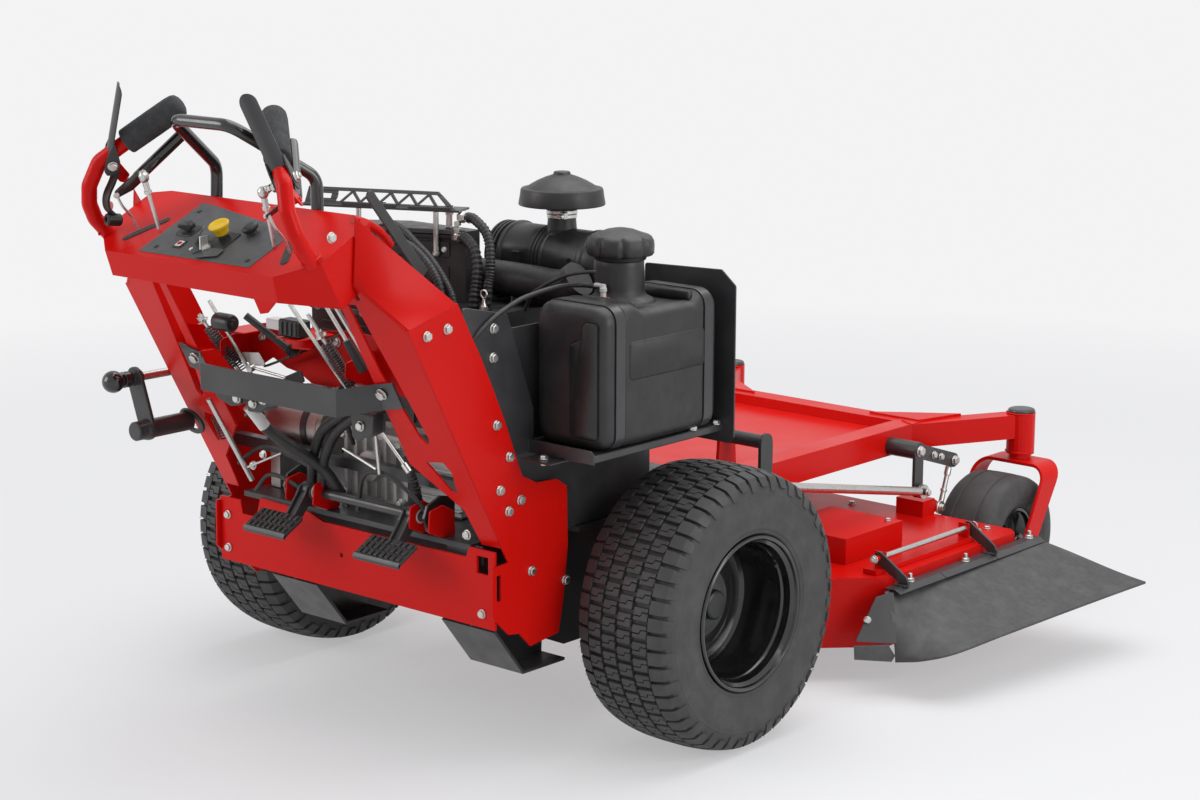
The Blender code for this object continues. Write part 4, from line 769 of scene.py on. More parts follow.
turned(tank, mm((940, 0), (940, 74), (962, 74), (968, 69), (973, 58), (980, 52.5), (990, 51), (1026, 50.5),
                (1036, 49.5), (1046, 49.5), (1048.8, 48), (1048.8, 0)), NECK_SPOT, (0, 0, 1), 48)
for y0, y1 in ((-0.242, -0.228), (-0.062, -0.048)):
    rib = eased([(0.445, y0, 0.958), (0.585, y0, 0.958), (0.585, y1, 0.958), (0.445, y1, 0.958)], 0.006)
    plate(tank, rib, (0, 0, 0.0255), 0.005)
pad = eased(mm((602.5, -271, 830), (602.5, -34, 830), (602.5, -34, 907), (602.5, -271, 907)), 0.01)
plate(tank, pad, (0.005, 0, 0), 0.0015)
lobe = eased(mm((515, -347.5, 715), (590, -347, 715), (590, -347, 955), (556, -347.5, 955),
                (546, -347.5, 940), (546, -347.5, 918), (515, -347.5, 905)), 0.012)
plate(tank, lobe, (0, -0.008, 0), 0.005)
made = piece("moulded_tank", tank, PEBBLED, "machine", 50, ("fuel_tank",))
print(made.name, len(made.data.polygons), "faces, straps at", STRAP_Y)

# %% [markdown]
# The cap is turned with a wave in its radius, so that eight finger hollows run round the rim. A second,
# smaller disc on top is the vent cover.

# %% Cap, grommet, elbow and the two tank hoses
def cap_lobes(angle, along):
    if not 0.009 < along < 0.05:
        return 1.0
    return 1.0 - 0.085 * max(0.0, math.cos(angle * 8)) ** 4


CAP_FOOT = NECK_SPOT + Vector((0, 0, 1.0492))
cap = bmesh.new()
turned(cap, mm((0.3, 0), (0.3, 53), (8, 56), (10, 67), (14, 70.2), (30, 70.8), (40, 69.5), (46, 66),
               (50, 60), (52, 54), (56, 42), (61, 29), (64, 14), (64.5, 0)), CAP_FOOT, (0, 0, 1), 128,
       cap_lobes)
piece("lobed_cap", cap, PEBBLED, "cap", 40, ("fuel_cap",))

GROMMET = Vector((0.486, -0.2155, 0.969))
grommet = bmesh.new()
turned(grommet, mm((-8, 0), (-8, 14.5), (1, 16), (6, 16), (9, 13.5), (10, 0)), GROMMET, (0, 0, 1), 24)
piece("tank_grommet", grommet, ORANGE)
elbow = bmesh.new()
turned(elbow, mm((0, 0), (0, 6), (12, 5.8), (14, 7.5), (20, 7.5), (22, 6), (28, 5.5), (30, 0)),
       GROMMET + Vector((0, 0, 0.008)), (0, 0, 1), 20)
swept(elbow, smooth([GROMMET + Vector(p) for p in mm((0, 0, 26), (-4, 1, 31), (-14, 3, 33), (-26, 5, 32))],
                    5), round_bar(0.0046, 12))
piece("tank_elbow", elbow, WHITE)

hoses = bmesh.new()
swept(hoses, smooth(mm((462, -208, 996.5), (446, -212, 998), (428, -224, 998.5), (424, -270, 1002),
                       (424, -315, 1000.4), (424, -358, 996), (424.5, -401, 989.2), (424.5, -464, 968.3),
                       (423, -505, 947), (418, -531, 923.3), (405, -548, 890)), 7), round_bar(0.005, 14))
swept(hoses, smooth(mm((428, -140, 1010), (395, -148, 1013), (345, -156, 1004), (309, -166, 989),
                       (280, -172, 972), (250, -176, 950), (225, -176, 900)), 6), round_bar(0.0042, 10))
piece("tank_hoses", hoses, SLEEVE)
print("cap, grommet and hoses made")

# %% [markdown]
# Two steel bands hold the tank on its tray. Each lies in a groove of the tank, so it follows the same
# rounded section a little further out. The tray is a pan with a low lip and a bolted tab behind and a tall
# plate in front. Dark panels carry it beside the wheel, and a bent flap covers its rear corner.

# %% Straps, tray and panels of the tank
def hoop(form, y, half, inner, outer, radius):
    """A closed band round the tank's section, so far outside it."""
    loops = []
    for shift, grow in ((-half, inner), (-half, outer), (half, outer), (half, inner)):
        loops.append(rounded_ring(form, y + shift, TANK_X[0] - grow, TANK_X[1] + grow, TANK_Z[0] - grow,
                                  TANK_Z[1] + grow, radius + grow))
    bridge(form, loops + loops[:1])


cradle = bmesh.new()
for y in STRAP_Y:
    hoop(cradle, y, 0.0135, -0.003, 0.0016, 0.034)
block(cradle, (0.3982, -0.3662, 0.6735), (0.5958, 0.042, 0.6895), 0.002)
block(cradle, (0.44, -0.414, 0.6655), (0.52, -0.36, 0.67), 0.001)
plate(cradle, mm((398, -370, 671), (596, -370, 671), (596, -370, 692), (588, -370, 699), (406, -370, 699),
                 (398, -370, 692)), (0, 0.0036, 0))
shield = eased(mm((381, 40, 650), (615, 40, 650), (628, 40, 664), (628, 40, 986), (590, 40, 1017),
                  (381, 40, 1010)), 0.008)
plate(cradle, shield, (0, 0.004, 0), 0.001)
plate(cradle, eased(mm((414.8, -566, 996), (414.8, -430, 965), (414.8, -353, 760), (414.8, -353, 675),
                       (414.8, -400, 667), (414.8, -465, 742)), 0.012), (0.0048, 0, 0))
block(cradle, (0.401, -0.44, 0.484), (0.407, 0.03, 0.676), 0.001)
block(cradle, (0.3975, -0.42, 0.69), (0.4005, 0.036, 0.93), 0.001)
block(cradle, (0.375, -0.205, 0.4828), (0.405, 0.03, 0.4888), 0.001)
piece("cradle_and_straps", cradle, BLACK, "machine", 30, ("tank_cradle",))
spots = [((0.59, y, 0.6897), (0, 0, 1), 0.01) for y in (-0.05, 0.028)]
spots += [((0.481, -0.391, 0.6702), (0, 0, 1), 0.01), ((0.481, -0.391, 0.6653), (0, 0, -1), 0.009)]
spots += [((0.4199, y, z), (1, 0, 0), 0.01) for y, z in ((-0.472, 0.941), (-0.474, 0.882))]
spots += [((0.4072, y, 0.64), (1, 0, 0), 0.008) for y in (-0.17, -0.01)]
bolts("tank_bolts", spots)

# %% [markdown]
# ## Engine top
# What shows above the console is a shroud with cooling slots, a ledge on silver standoffs and a folded
# guard with triangular openings. A truss is quickest from strips: two rails and slanting struts cut from
# the same plate. The struts are a hair thinner than the rails, so no two faces lie in one plane.

# %% Guard with its truss
GUARD_START = Vector((-0.25, -0.372, 0))
GUARD_TURN = math.radians(23)
ALONG = Vector((math.cos(GUARD_TURN), math.sin(GUARD_TURN), 0))
FORWARD = Vector((-math.sin(GUARD_TURN), math.cos(GUARD_TURN), 0))
LEDGE_Z = (1.116, 1.121)
FENCE_T = 0.0045
FENCE_HIGH = 0.034
FENCE_LEAN = 0.026


def on_guard(along, forward, z):
    """The guard stands askew over the engine; this is a point of it."""
    return GUARD_START + ALONG * along + FORWARD * forward + Vector((0, 0, z))


def strip(form, corners, thick=FENCE_T):
    """A strip of the fence, which leans forward as it rises."""
    outline = [on_guard(u, 0.004 + FENCE_LEAN * (z - LEDGE_Z[1]) / FENCE_HIGH, z) for u, z in corners]
    plate(form, outline, FORWARD * thick, 0.0007)


def on_ledge(form, low, high, z_low, z_high, ease=0.001):
    plate(form, [on_guard(low[0], low[1], z_low), on_guard(high[0], low[1], z_low),
                 on_guard(high[0], high[1], z_low), on_guard(low[0], high[1], z_low)],
          (0, 0, z_high - z_low), ease)


guard = bmesh.new()
on_ledge(guard, (0.0, 0.0), (0.37, 0.062), *LEDGE_Z)
on_ledge(guard, (0.1, -0.0004), (0.225, 0.006), 1.1205, 1.1285)
on_ledge(guard, (0.255, -0.0004), (0.35, 0.006), 1.1205, 1.1265)
strip(guard, mm((10, 1148), (322, 1148), (312, 1155), (10, 1155)))
strip(guard, mm((10, 1120), (362, 1120), (350, 1127.5), (10, 1127.5)))
strip(guard, mm((10, 1127), (20, 1127), (20, 1148.5), (10, 1148.5)), FENCE_T - 0.0006)
strip(guard, mm((20, 1127), (82, 1127), (82, 1133), (20, 1133)), FENCE_T - 0.0008)
strip(guard, mm((20, 1142.5), (82, 1142.5), (82, 1148.5), (20, 1148.5)), FENCE_T - 0.0008)
strip(guard, mm((68, 1132.5), (83, 1132.5), (83, 1143), (68, 1143)), FENCE_T - 0.0004)
strip(guard, mm((338, 1127), (352, 1127), (322, 1148.5), (310, 1148.5)), FENCE_T - 0.0006)
STRUT = 0.0042
for k in range(5):
    low = 0.094 + k * 0.044
    high = low + 0.022
    strip(guard, [(low - STRUT, 1.127), (low + STRUT, 1.127), (high + STRUT, 1.1485),
                  (high - STRUT, 1.1485)], FENCE_T - 0.0006)
    strip(guard, [(low + 0.044 - STRUT, 1.127), (low + 0.044 + STRUT, 1.127), (high + STRUT, 1.1485),
                  (high - STRUT, 1.1485)], FENCE_T - 0.001)
piece("truss_guard", guard, BLACK, "machine", 25, ("engine_guard",))

standoffs = bmesh.new()
for along in (0.032, 0.18, 0.335):
    foot = on_guard(along, 0.032, 1.0753)
    turned(standoffs, mm((0, 0), (0, 8.5), (2, 9.5), (6, 9.5), (6, 7), (32, 7), (32, 9.5), (36, 9.5),
                         (39.5, 8.5), (40.5, 0)), foot, (0, 0, 1), 6)
    bolt(standoffs, on_guard(along, 0.032, LEDGE_Z[1] + 0.0002), (0, 0, 1), 0.01)
for along, low in ((0.14, 1.03), (0.318, 1.02)):
    turned(standoffs, ((0, 0), (0, 0.006), (0.004, 0.0085), (0.01, 0.0085), (0.01, 0.006),
                       (1.116 - low, 0.006), (1.116 - low, 0)), on_guard(along, -0.002, low), (0, 0, 1), 12)
piece("guard_standoffs", standoffs, ZINC, "machine", 25)
print("guard and standoffs made")

# %% [markdown]
# The shroud keeps its CAD box. Long louvres go on its rear faces, where cooling slots belong, with a grey
# seam band below them and a plain raised panel above. The upper part stands askew, like the guard.

# %% Louvres, panel, seam band and screws on the shroud
louvres = bmesh.new()
for z in (0.944, 0.966, 0.988):
    on_ledge(louvres, (0.035, 0.0065), (0.25, 0.012), z, z + 0.009, 0.0012)
for u in (0.272, 0.292, 0.312, 0.332):
    on_ledge(louvres, (u, 0.0065), (u + 0.011, 0.012), 0.942, 0.998, 0.0012)
on_ledge(louvres, (0.11, 0.006), (0.345, 0.012), 1.018, 1.052, 0.0016)
on_ledge(louvres, (0.022, 0.0045), (0.375, 0.013), 1.058, 1.066, 0.0015)
for z in (0.822, 0.842, 0.862):
    block(louvres, (-0.2, -0.358, z), (0.2, -0.3545, z + 0.009), 0.0012)
piece("shroud_louvres", louvres, PLASTIC, "machine", 25)
band = bmesh.new()
block(band, (-0.2375, -0.359, 0.892), (0.2375, -0.353, 0.904), 0.0015)
on_ledge(band, (0.02, 0.0045), (0.382, 0.013), 1.068, 1.078, 0.0015)
piece("shroud_band", band, SLATE, "machine", 25)
bolts("shroud_screws", [((x, -0.3592, 0.898), (0, -1, 0), 0.007) for x in (-0.21, -0.07, 0.07, 0.21)]
      + [(on_guard(u, 0.0058, 1.035), -FORWARD, 0.006) for u in (0.122, 0.333)], "machine")

# %% [markdown]
# The air cleaner is a long canister on its side with rolled bands, a ribbed end and a neck that carries
# the rain cap. The cap is a mushroom: a skirt that flares a little, a step, and a shallow cone. Both are
# turned. Four notches under the skirt let the air in.

# %% Air cleaner, rain cap and intake duct
CLEANER = Vector((0, 0, 1.0))
CAP_SPOT = Vector((0.18, 0, 0))
canister = bmesh.new()
profile = mm((0, 0), (0, 50), (4, 60), (12, 66))
for x in (0.014, 0.024, 0.034):
    profile += [(x, 0.066), (x + 0.001, 0.0715), (x + 0.006, 0.0715), (x + 0.007, 0.066)]
profile += mm((48, 69), (52, 73.8), (60, 74.5), (64, 70.5), (100, 70), (140, 70.5))
for x in (0.142, 0.152, 0.162, 0.172):
    profile += [(x, 0.07), (x + 0.002, 0.0735), (x + 0.006, 0.0735), (x + 0.008, 0.07)]
profile += mm((184, 70), (276, 70.5), (282, 74.5), (292, 74.5), (296, 71.5), (318, 70), (327, 65),
              (331, 54), (332, 50), (335, 48), (336, 30), (336, 0))
turned(canister, profile, CLEANER, (1, 0, 0), 56)
turned(canister, mm((1045, 0), (1045, 46), (1060, 40), (1068, 32.5), (1088, 31), (1117, 31), (1117, 0)),
       CAP_SPOT, (0, 0, 1), 36)
block(canister, (0.06, -0.03, 0.9065), (0.2, 0.03, 0.945), 0.004)
for x in (0.1, 0.24):
    block(canister, (x, -0.076, 0.985), (x + 0.022, -0.069, 1.02), 0.0015)
piece("cleaner_canister", canister, PLASTIC, "machine", 30, ("air_cleaner",))


def cap_notches(angle, along):
    if along > 0.006:
        return 1.0
    return 1.0 - 0.02 * max(0.0, math.cos(angle * 4)) ** 8


hat = bmesh.new()
turned(hat, mm((1115.3, 0), (1115.3, 34), (1120, 36), (1128, 40), (1133, 84), (1129, 88), (1121, 91.5),
               (1120.5, 94), (1123, 94.5), (1140, 91.5), (1152, 90), (1156, 88), (1157, 84), (1157.5, 78),
               (1164, 68), (1172, 54), (1180, 36), (1184, 24), (1186, 19), (1190.5, 18), (1192, 16),
               (1192, 0)), CAP_SPOT, (0, 0, 1), 72, cap_notches)
piece("rain_hat", hat, PEBBLED, "machine", 24, ("rain_cap",))
clamp = bmesh.new()
for z, radius in ((1.093, 0.033), (1.102, 0.0338)):
    turned(clamp, ((z, 0), (z, radius), (z + 0.007, radius), (z + 0.007, 0)), CAP_SPOT, (0, 0, 1), 40)
block(clamp, (0.205, -0.036, 1.0935), (0.219, -0.024, 1.1085), 0.001)
turned(clamp, mm((0, 0), (0, 3.5), (22, 3.5), (22, 0)), (0.2, -0.034, 1.101), (1, -0.4, 0), 8)
piece("hat_clamp", clamp, ZINC, "machine", 25)

duct = bmesh.new()


def duct_radius(share):
    """A rubber elbow swells at its cuffs and has a few soft folds at the inner end."""
    fold = 0.0016 * math.sin(share * 90) if share < 0.28 else 0.0
    cuff = 0.0016 if share > 0.93 else 0.0
    return 0.0375 + fold + cuff + 0.0006 * math.sin(share * 9)


swept(duct, smooth(mm((-110, -118, 964), (-50, -118, 964), (40, -118, 965), (130, -119, 967),
                      (210, -118, 966), (270, -117, 964), (305, -116, 971), (330, -114, 988)), 9),
      round_bar(duct_radius, 32))
piece("rubber_duct", duct, SLEEVE, "machine", 60, ("intake_duct",))
print("air path made")

# %% [markdown]
# ## Hoses and levers beside the engine
# Every hose is a smooth curve through a few points that were sighted on the photograph, with a round
# section whose radius ripples for the corrugated ones. They end inside a fitting or a casting, never in
# the air.

# %% Corrugated hoses, fittings and the flat lever
def corrugated(radius, ribs, depth=0.0012):
    return round_bar(lambda share: radius + depth * math.sin(share * ribs * 2 * math.pi), 14)


ribbed = bmesh.new()
swept(ribbed, smooth(mm((108, -219, 1108), (131, -223, 1106), (169, -230, 1086), (189, -237, 1058),
                        (198, -245, 1025), (203, -252, 996), (204, -260, 971), (203, -262, 915)), 16),
      corrugated(0.01, 30))
swept(ribbed, smooth(mm((98, -228, 1064), (118, -232, 1061), (148, -241, 1043), (165, -251, 1011),
                        (171, -260, 978), (175, -270, 949), (176, -274, 912)), 16), corrugated(0.0115, 20))
swept(ribbed, smooth(mm((-60, -298, 1090), (-39, -300, 1088), (3, -305, 1077), (46, -312, 1055),
                        (88, -318, 1033), (124, -324, 1007), (155, -329, 977), (172, -332, 952),
                        (178, -332, 905)), 18), corrugated(0.0085, 44, 0.0009))
swept(ribbed, smooth(mm((-75, -318, 1050), (-42, -330, 1058), (5, -334, 1061), (52, -338, 1054),
                        (93, -342, 1035), (129, -346, 1008), (150, -347, 973), (156, -344, 905)), 18),
      corrugated(0.0095, 38, 0.001))
piece("corrugated_hoses", ribbed, SLEEVE, "machine", 60)

fittings = bmesh.new()
for spot, way in ((Vector((0.08, -0.214, 1.106)), (1, -0.1, 0.02)),
                  (Vector((0.072, -0.222, 1.064)), (1, -0.2, 0))):
    turned(fittings, mm((0, 0), (0, 10.5), (6, 13), (14, 13), (16, 10.5), (26, 10.5), (28, 12.5),
                        (32, 12.5), (32, 0)), spot, way, 6)
turned(fittings, mm((0, 0), (0, 7), (10, 7), (10, 0)), (0.084, -0.222, 1.093), (0.3, -1, 0), 6)
turned(fittings, mm((0, 0), (0, 7), (10, 7), (10, 0)), (0.084, -0.222, 1.078), (0.3, -1, 0), 6)
ring = [Vector((0.212 + 0.0085 * math.cos(a), -0.28, 0.962 + 0.0085 * math.sin(a)))
        for a in (math.radians(20 * k) for k in range(19))]
swept(fittings, ring, round_bar(0.0022, 8))
turned(fittings, mm((0, 0), (0, 7.5), (30, 7.5), (36, 4), (48, 3), (48, 0)), (0.212, -0.28, 0.906),
       (0, 0, 1), 8)
piece("hose_fittings", fittings, ZINC, "machine", 25)

lever = bmesh.new()
low = Vector((0.292, -0.534, 1.042))
high = Vector((0.292, -0.685, 1.222))
along = (high - low).normalized()
side = Vector((1, 0, 0)).cross(along)
outline = [low - side * 0.013, low + side * 0.013]
for k in range(9):
    angle = math.radians(-90 + 22.5 * k)
    outline.append(high - along * 0.0105 + (along * math.cos(angle) - side * math.sin(angle)) * 0.0105)
plate(lever, outline, (-0.005, 0, 0), 0.0009)
piece("flat_lever", lever, BLACK, "machine", 30)
red_end = bmesh.new()
swept(red_end, smooth(mm((288, -724, 1172), (288, -690, 1162), (286, -650, 1140), (284, -620, 1110)), 6),
      round_bar(0.0085, 16))
piece("red_tube_end", red_end, RED)
print("hoses and levers beside the engine made")

# %% [markdown]
# ## Discharge chute
# The chute is a rubber mat bolted under a steel strip that two arms carry on the hinge rod. The mat is one
# surface between its clamped edge and its free edge. It hangs nearly flat at the front, and at the rear it
# is drawn down over a steel end plate, where the rubber puckers. So the two edges are given as curves and
# the surface between them is swollen near the rear corner.

# %% The rubber mat as a patch between two edges
CLAMPED = mm((672, 548, 227), (672, 700, 227), (672, 860, 227), (672, 1020, 227), (672, 1182, 227))
FREE = mm((738, 502, 90), (800, 516, 101), (862, 556, 122), (893, 700, 138), (917, 870, 147),
          (943, 1040, 156), (967.5, 1213, 165))


def at_share(points, share):
    """A point of a smooth curve at a share of its length in points."""
    place = share * (len(points) - 1)
    k = min(int(place), len(points) - 2)
    return points[k].lerp(points[k + 1], place - k)


clamped = smooth(CLAMPED, 12)
free = smooth(FREE, 10)
mat = bmesh.new()
ALONG_STEPS = 56
ACROSS_STEPS = 22
THICK = 0.009
layers = []
for depth in (0, 1):
    rows = []
    for i in range(ALONG_STEPS + 1):
        u = i / ALONG_STEPS
        high = at_share(clamped, u)
        low = at_share(free, u)
        row = []
        for j in range(ACROSS_STEPS + 1):
            v = j / ACROSS_STEPS
            bend = v * v * (3 - 2 * v) * 0.35 + v * 0.65
            point = high.lerp(low, v)
            point.z = high.z + (low.z - high.z) * bend
            swell = math.exp(-(u / 0.16) ** 2) * math.sin(math.pi * v)
            pucker = math.exp(-((u - 0.12) / 0.1) ** 2) * math.sin(math.pi * v) * math.sin(v * 16 + u * 30)
            point += Vector((0.4, -0.18, 0.8)) * (0.02 * swell + 0.0016 * pucker)
            point.z += 0.0012 * math.sin(u * 9) * v
            on_rim = j in (0, ACROSS_STEPS) or i in (0, ALONG_STEPS)
            drop = 0.0018 if on_rim else 0.0
            point.z -= drop if depth == 0 else THICK - drop
            row.append(mat.verts.new(point))
        rows.append(row)
    layers.append(rows)
for rows in layers:
    for i in range(ALONG_STEPS):
        for j in range(ACROSS_STEPS):
            mat.faces.new((rows[i][j], rows[i + 1][j], rows[i + 1][j + 1], rows[i][j + 1]))


def rim_of(rows):
    """The corners along the four edges of a grid, in order."""
    rim = [rows[0][j] for j in range(ACROSS_STEPS)]
    rim += [rows[i][ACROSS_STEPS] for i in range(ALONG_STEPS)]
    rim += [rows[ALONG_STEPS][j] for j in range(ACROSS_STEPS, 0, -1)]
    return rim + [rows[i][0] for i in range(ALONG_STEPS, 0, -1)]


bridge(mat, [rim_of(rows) for rows in layers])
skirt = mm((734.5, 505, 96), (730, 499, 83), (674, 433, 92), (674, 430, 124), (725, 490, 124))
plate(mat, skirt, (-0.0045, 0.0065, 0), 0.0012)
piece("rubber_mat", mat, MAT, "chute", 40, ("chute_deflector",))
print("mat", ALONG_STEPS * ACROSS_STEPS, "patches, thickness", THICK)

# %% [markdown]
# The strip has a lip that follows the mat, and two short cuts let it bend. The arms are flat bars with
# rounded ends. A bolt with its nut on top and a long thread end stands at each clamp point.

# %% Strip, end plate, arms, rod and bolts
frame_of_chute = bmesh.new()
HINGE = Vector((0.62, 0, 0.285))
for y0, y1 in mm((560, 745), (747.5, 965), (967.5, 1180)):
    lip = [(0.666, y0, 0.232), (0.6915, y0, 0.232), (0.708, y0, 0.2235), (0.7068, y0, 0.2208),
           (0.6905, y0, 0.2292), (0.666, y0, 0.2292)]
    plate(frame_of_chute, lip, (0, y1 - y0, 0), 0.0005)
block(frame_of_chute, (0.6655, 0.561, 0.2288), (0.6905, 1.179, 0.2316), 0.0006)
end_plate = eased(mm((695.5, 550, 229), (737, 508, 125), (672, 438, 133), (672, 515, 220)), 0.004)
plate(frame_of_chute, end_plate, (-0.0026, 0.0032, 0), 0.0006)
for y in (0.6, 0.97):
    arm = [HINGE + Vector((0.015 * math.cos(a), y - 0.003, 0.015 * math.sin(a)))
           for a in (math.radians(60 + 20 * k) for k in range(11))]
    arm += [Vector((0.668, y - 0.003, 0.242)), Vector((0.68, y - 0.003, 0.2318)),
            Vector((0.7, y - 0.003, 0.23)), Vector((0.702, y - 0.003, 0.242)),
            Vector((0.695, y - 0.003, 0.254)), Vector((0.68, y - 0.003, 0.264))]
    plate(frame_of_chute, arm, (0, 0.006, 0), 0.0008)
    block(frame_of_chute, (0.668, y - 0.012, 0.2318), (0.699, y + 0.012, 0.235), 0.0008)
piece("chute_frame", frame_of_chute, BLACK, "chute", 25)
spots = [((0.679, y, 0.2322), (0, 0, 1), 0.01, 0.011) for y in (0.64, 0.87, 1.15)]
spots += [((0.676, 0.478, 0.176), (0.55, -0.83, 0), 0.008)]
bolts("chute_bolts", spots, "chute")
rod_ends = bmesh.new()
turned(rod_ends, mm((612, 0), (612, 6.6), (958, 6.6), (958, 0)), HINGE, (0, 1, 0), 20)
for y, way in ((0.5795, -1), (0.9905, 1)):
    bolt(rod_ends, (HINGE.x, y, HINGE.z), (0, way, 0), 0.01, stub=0.004)
piece("hinge_rod", rod_ends, ZINC, "deck", 25)

# %% [markdown]
# ## Caster forks
# Each fork is a flat bar bent over the wheel with round shoulders, wide under the pivot tube and narrow at
# the axle. It is drawn as a ring of four corners that walks along the bend; only the width and the place
# along Y change on the way. The pivot ends in a black cap on top of the tube.

# %% Forks with axle bolts and caps
PIVOT_Y = 1.435


def fork(form, centre):
    """The bent bar of one fork over the wheel at x = centre."""
    out = 0.1075
    thick = 0.009
    shoulder = 0.046
    top = 0.352
    ease = 0.0012
    walk = []
    for z in (0.141, 0.145, 0.152, 0.162, 0.174, 0.188, 0.22, 0.26, top - shoulder):
        walk.append((-out, z, 1, 0))
    for k in range(1, 9):
        a = math.radians(180 - 11.25 * k)
        walk.append((-out + shoulder + shoulder * math.cos(a), top - shoulder + shoulder * math.sin(a),
                     -math.cos(a), -math.sin(a)))
    walk += [(-x, z, -nx, nz) for x, z, nx, nz in reversed(walk)]
    rings = []
    for x, z, nx, nz in walk:
        rear = 1.299 + max(z - 0.177, 0) * 0.094 / 0.175
        front = 1.351 + max(z - 0.157, 0) * 0.12 / 0.195
        if z < 0.174:
            half = math.sqrt(max(0.026 ** 2 - (0.167 - z) ** 2, 0.0008 ** 2)) if z < 0.167 else 0.026
            rear = AXLE_Y - half
            front = AXLE_Y + half
        in_x = x + nx * thick
        in_z = z + nz * thick
        ring = ((x, z, rear + ease), (x, z, front - ease), (x + nx * ease, z + nz * ease, front),
                (in_x - nx * ease, in_z - nz * ease, front), (in_x, in_z, front - ease),
                (in_x, in_z, rear + ease), (in_x - nx * ease, in_z - nz * ease, rear),
                (x + nx * ease, z + nz * ease, rear))
        rings.append([form.verts.new((centre + px, y, pz)) for px, pz, y in ring])
    bridge_and_close(form, rings)


for name, side in (("left", -1), ("right", 1)):
    centre = side * CASTER_X
    bent = bmesh.new()
    fork(bent, centre)
    turned(bent, mm((348, 0), (348, 34), (351, 33), (354, 29), (364.5, 28), (364.5, 17), (470, 17),
                    (470, 0)), (centre, PIVOT_Y, 0), (0, 0, 1), 32)
    turned(bent, mm((-97, 0), (-97, 8.8), (97, 8.8), (97, 0)), (centre, AXLE_Y, CASTER_R), (1, 0, 0), 16)
    piece("bent_fork_" + name, bent, RED, "caster_" + name, 28, ("caster_fork_" + name,))
    cap = bmesh.new()
    turned(cap, mm((472.4, 0), (472.4, 33.5), (473.5, 34.5), (476, 34.5), (479, 33), (480.5, 30),
                   (481, 20), (481, 0)), (centre, PIVOT_Y, 0), (0, 0, 1), 40)
    piece("pivot_cap_" + name, cap, BLACK, "caster_" + name, 30)
    axle = bmesh.new()
    for way in (-1, 1):
        spot = (centre + way * 0.1076, AXLE_Y, CASTER_R)
        bolt(axle, spot, (way, 0, 0), 0.0125, stub=0 if way < 0 else 0.002)
    piece("axle_bolt_" + name, axle, ZINC, "caster_" + name, 25)
print("forks made")

# %% [markdown]
# ## Console
# The sheet-metal console stays as the CAD has it. On it lie a grey film panel, slots for the drive rods and
# the controls. Everything on it is placed by two numbers, sideways and forward, and stands square to the
# sloping top. That is how the maker would mark it out as well.

# %% Marking out on the sloping top
SLOPE = 0.505
UPRIGHT_WAY = Vector((0, -SLOPE, 1)).normalized()
UPHILL = Vector((0, 1, SLOPE)).normalized()


def on_console(x, y, above=0.0):
    return Vector((x, y, 1.077 + (y + 0.9) * SLOPE)) + UPRIGHT_WAY * above


def slab_on_console(form, corners, low, high, radius=0.003, ease=0.0004):
    """A rounded slab that lies on the console between two heights."""
    outline = [on_console(x, y, low) for x, y in corners]
    plate(form, eased(outline, radius), UPRIGHT_WAY * (high - low), ease)


# %% Film panel, rod slots, label-free corners and small screws
film = bmesh.new()
slab_on_console(film, mm((-162, -887), (168, -886), (174, -797), (110, -762), (-110, -729), (-150, -726)),
                0.0002, 0.001, 0.006, 0.0003)
piece("film_panel", film, SLATE, "machine", 25)
slots = bmesh.new()
for way in (-1, 1):
    start = Vector((way * 0.236, -0.856))
    end = Vector((way * 0.19, -0.79))
    along = (end - start).normalized()
    out = Vector((-along.y, along.x))
    for half, low, high in ((0.0088, 0.0002, 0.0009), (0.0066, 0.0009, 0.0013)):
        ring = []
        for centre, turn in ((end, 0), (start, 180)):
            for k in range(9):
                angle = math.radians(turn - 90 + 22.5 * k)
                spot = centre + (along * math.cos(angle) + out * math.sin(angle)) * half
                ring.append(on_console(spot.x, spot.y, low))
        plate(slots, ring, UPRIGHT_WAY * (high - low), 0.0002)
turned(slots, mm((0, 0), (0, 4.2), (0.6, 3.8), (0.6, 0)), (-0.013, -0.8852, 1.05), (0, -1, 0), 16)
piece("rod_slots", slots, SLEEVE, "machine", 25)

# %% [markdown]
# The blade switch is a yellow mushroom on a threaded neck, standing in a bent guard of smoky plastic. Beside
# it are the key, a small lamp, the rocker of the throttle and the choke knob.

# %% Switch, guard, throttle, choke, key and lamp
def six_hollows(angle, along):
    return 1 - (0.05 * max(0.0, math.cos(angle * 6)) ** 6 if 0.0135 < along < 0.034 else 0)


SWITCH = on_console(0.022, -0.818)
CHOKE = on_console(0.077, -0.793)
mushroom = bmesh.new()
turned(mushroom, mm((-20, 0), (-20, 5.8), (12.5, 5.8), (13, 13), (14.5, 14.2), (19, 14.8), (24, 16.5),
                    (28.5, 19.5), (31, 21.4), (34.5, 21.8), (36, 20.5), (36.2, 15), (35.2, 13), (35.2, 0)),
       SWITCH, UPRIGHT_WAY, 40, six_hollows)
piece("mushroom_knob", mushroom, YELLOW, "blade_switch", 40, ("blade_switch_knob",))
base = bmesh.new()
slab_on_console(base, mm((-6, -850), (52, -850), (52, -800), (-6, -800)), 0.001, 0.0035)
turned(base, mm((3.4, 0), (3.4, 13), (9, 13), (10.5, 11.5), (10.5, 6.8), (3.4, 6.8)), SWITCH, UPRIGHT_WAY,
       6)
turned(base, mm((1, 0), (1, 14), (3.5, 13.5), (4.5, 11), (8, 10.5), (8, 0)), CHOKE, UPRIGHT_WAY, 30)
slab_on_console(base, mm((-119, -828), (-69, -828), (-69, -794), (-119, -794)), 0.001, 0.0028, 0.008,
                0.0008)
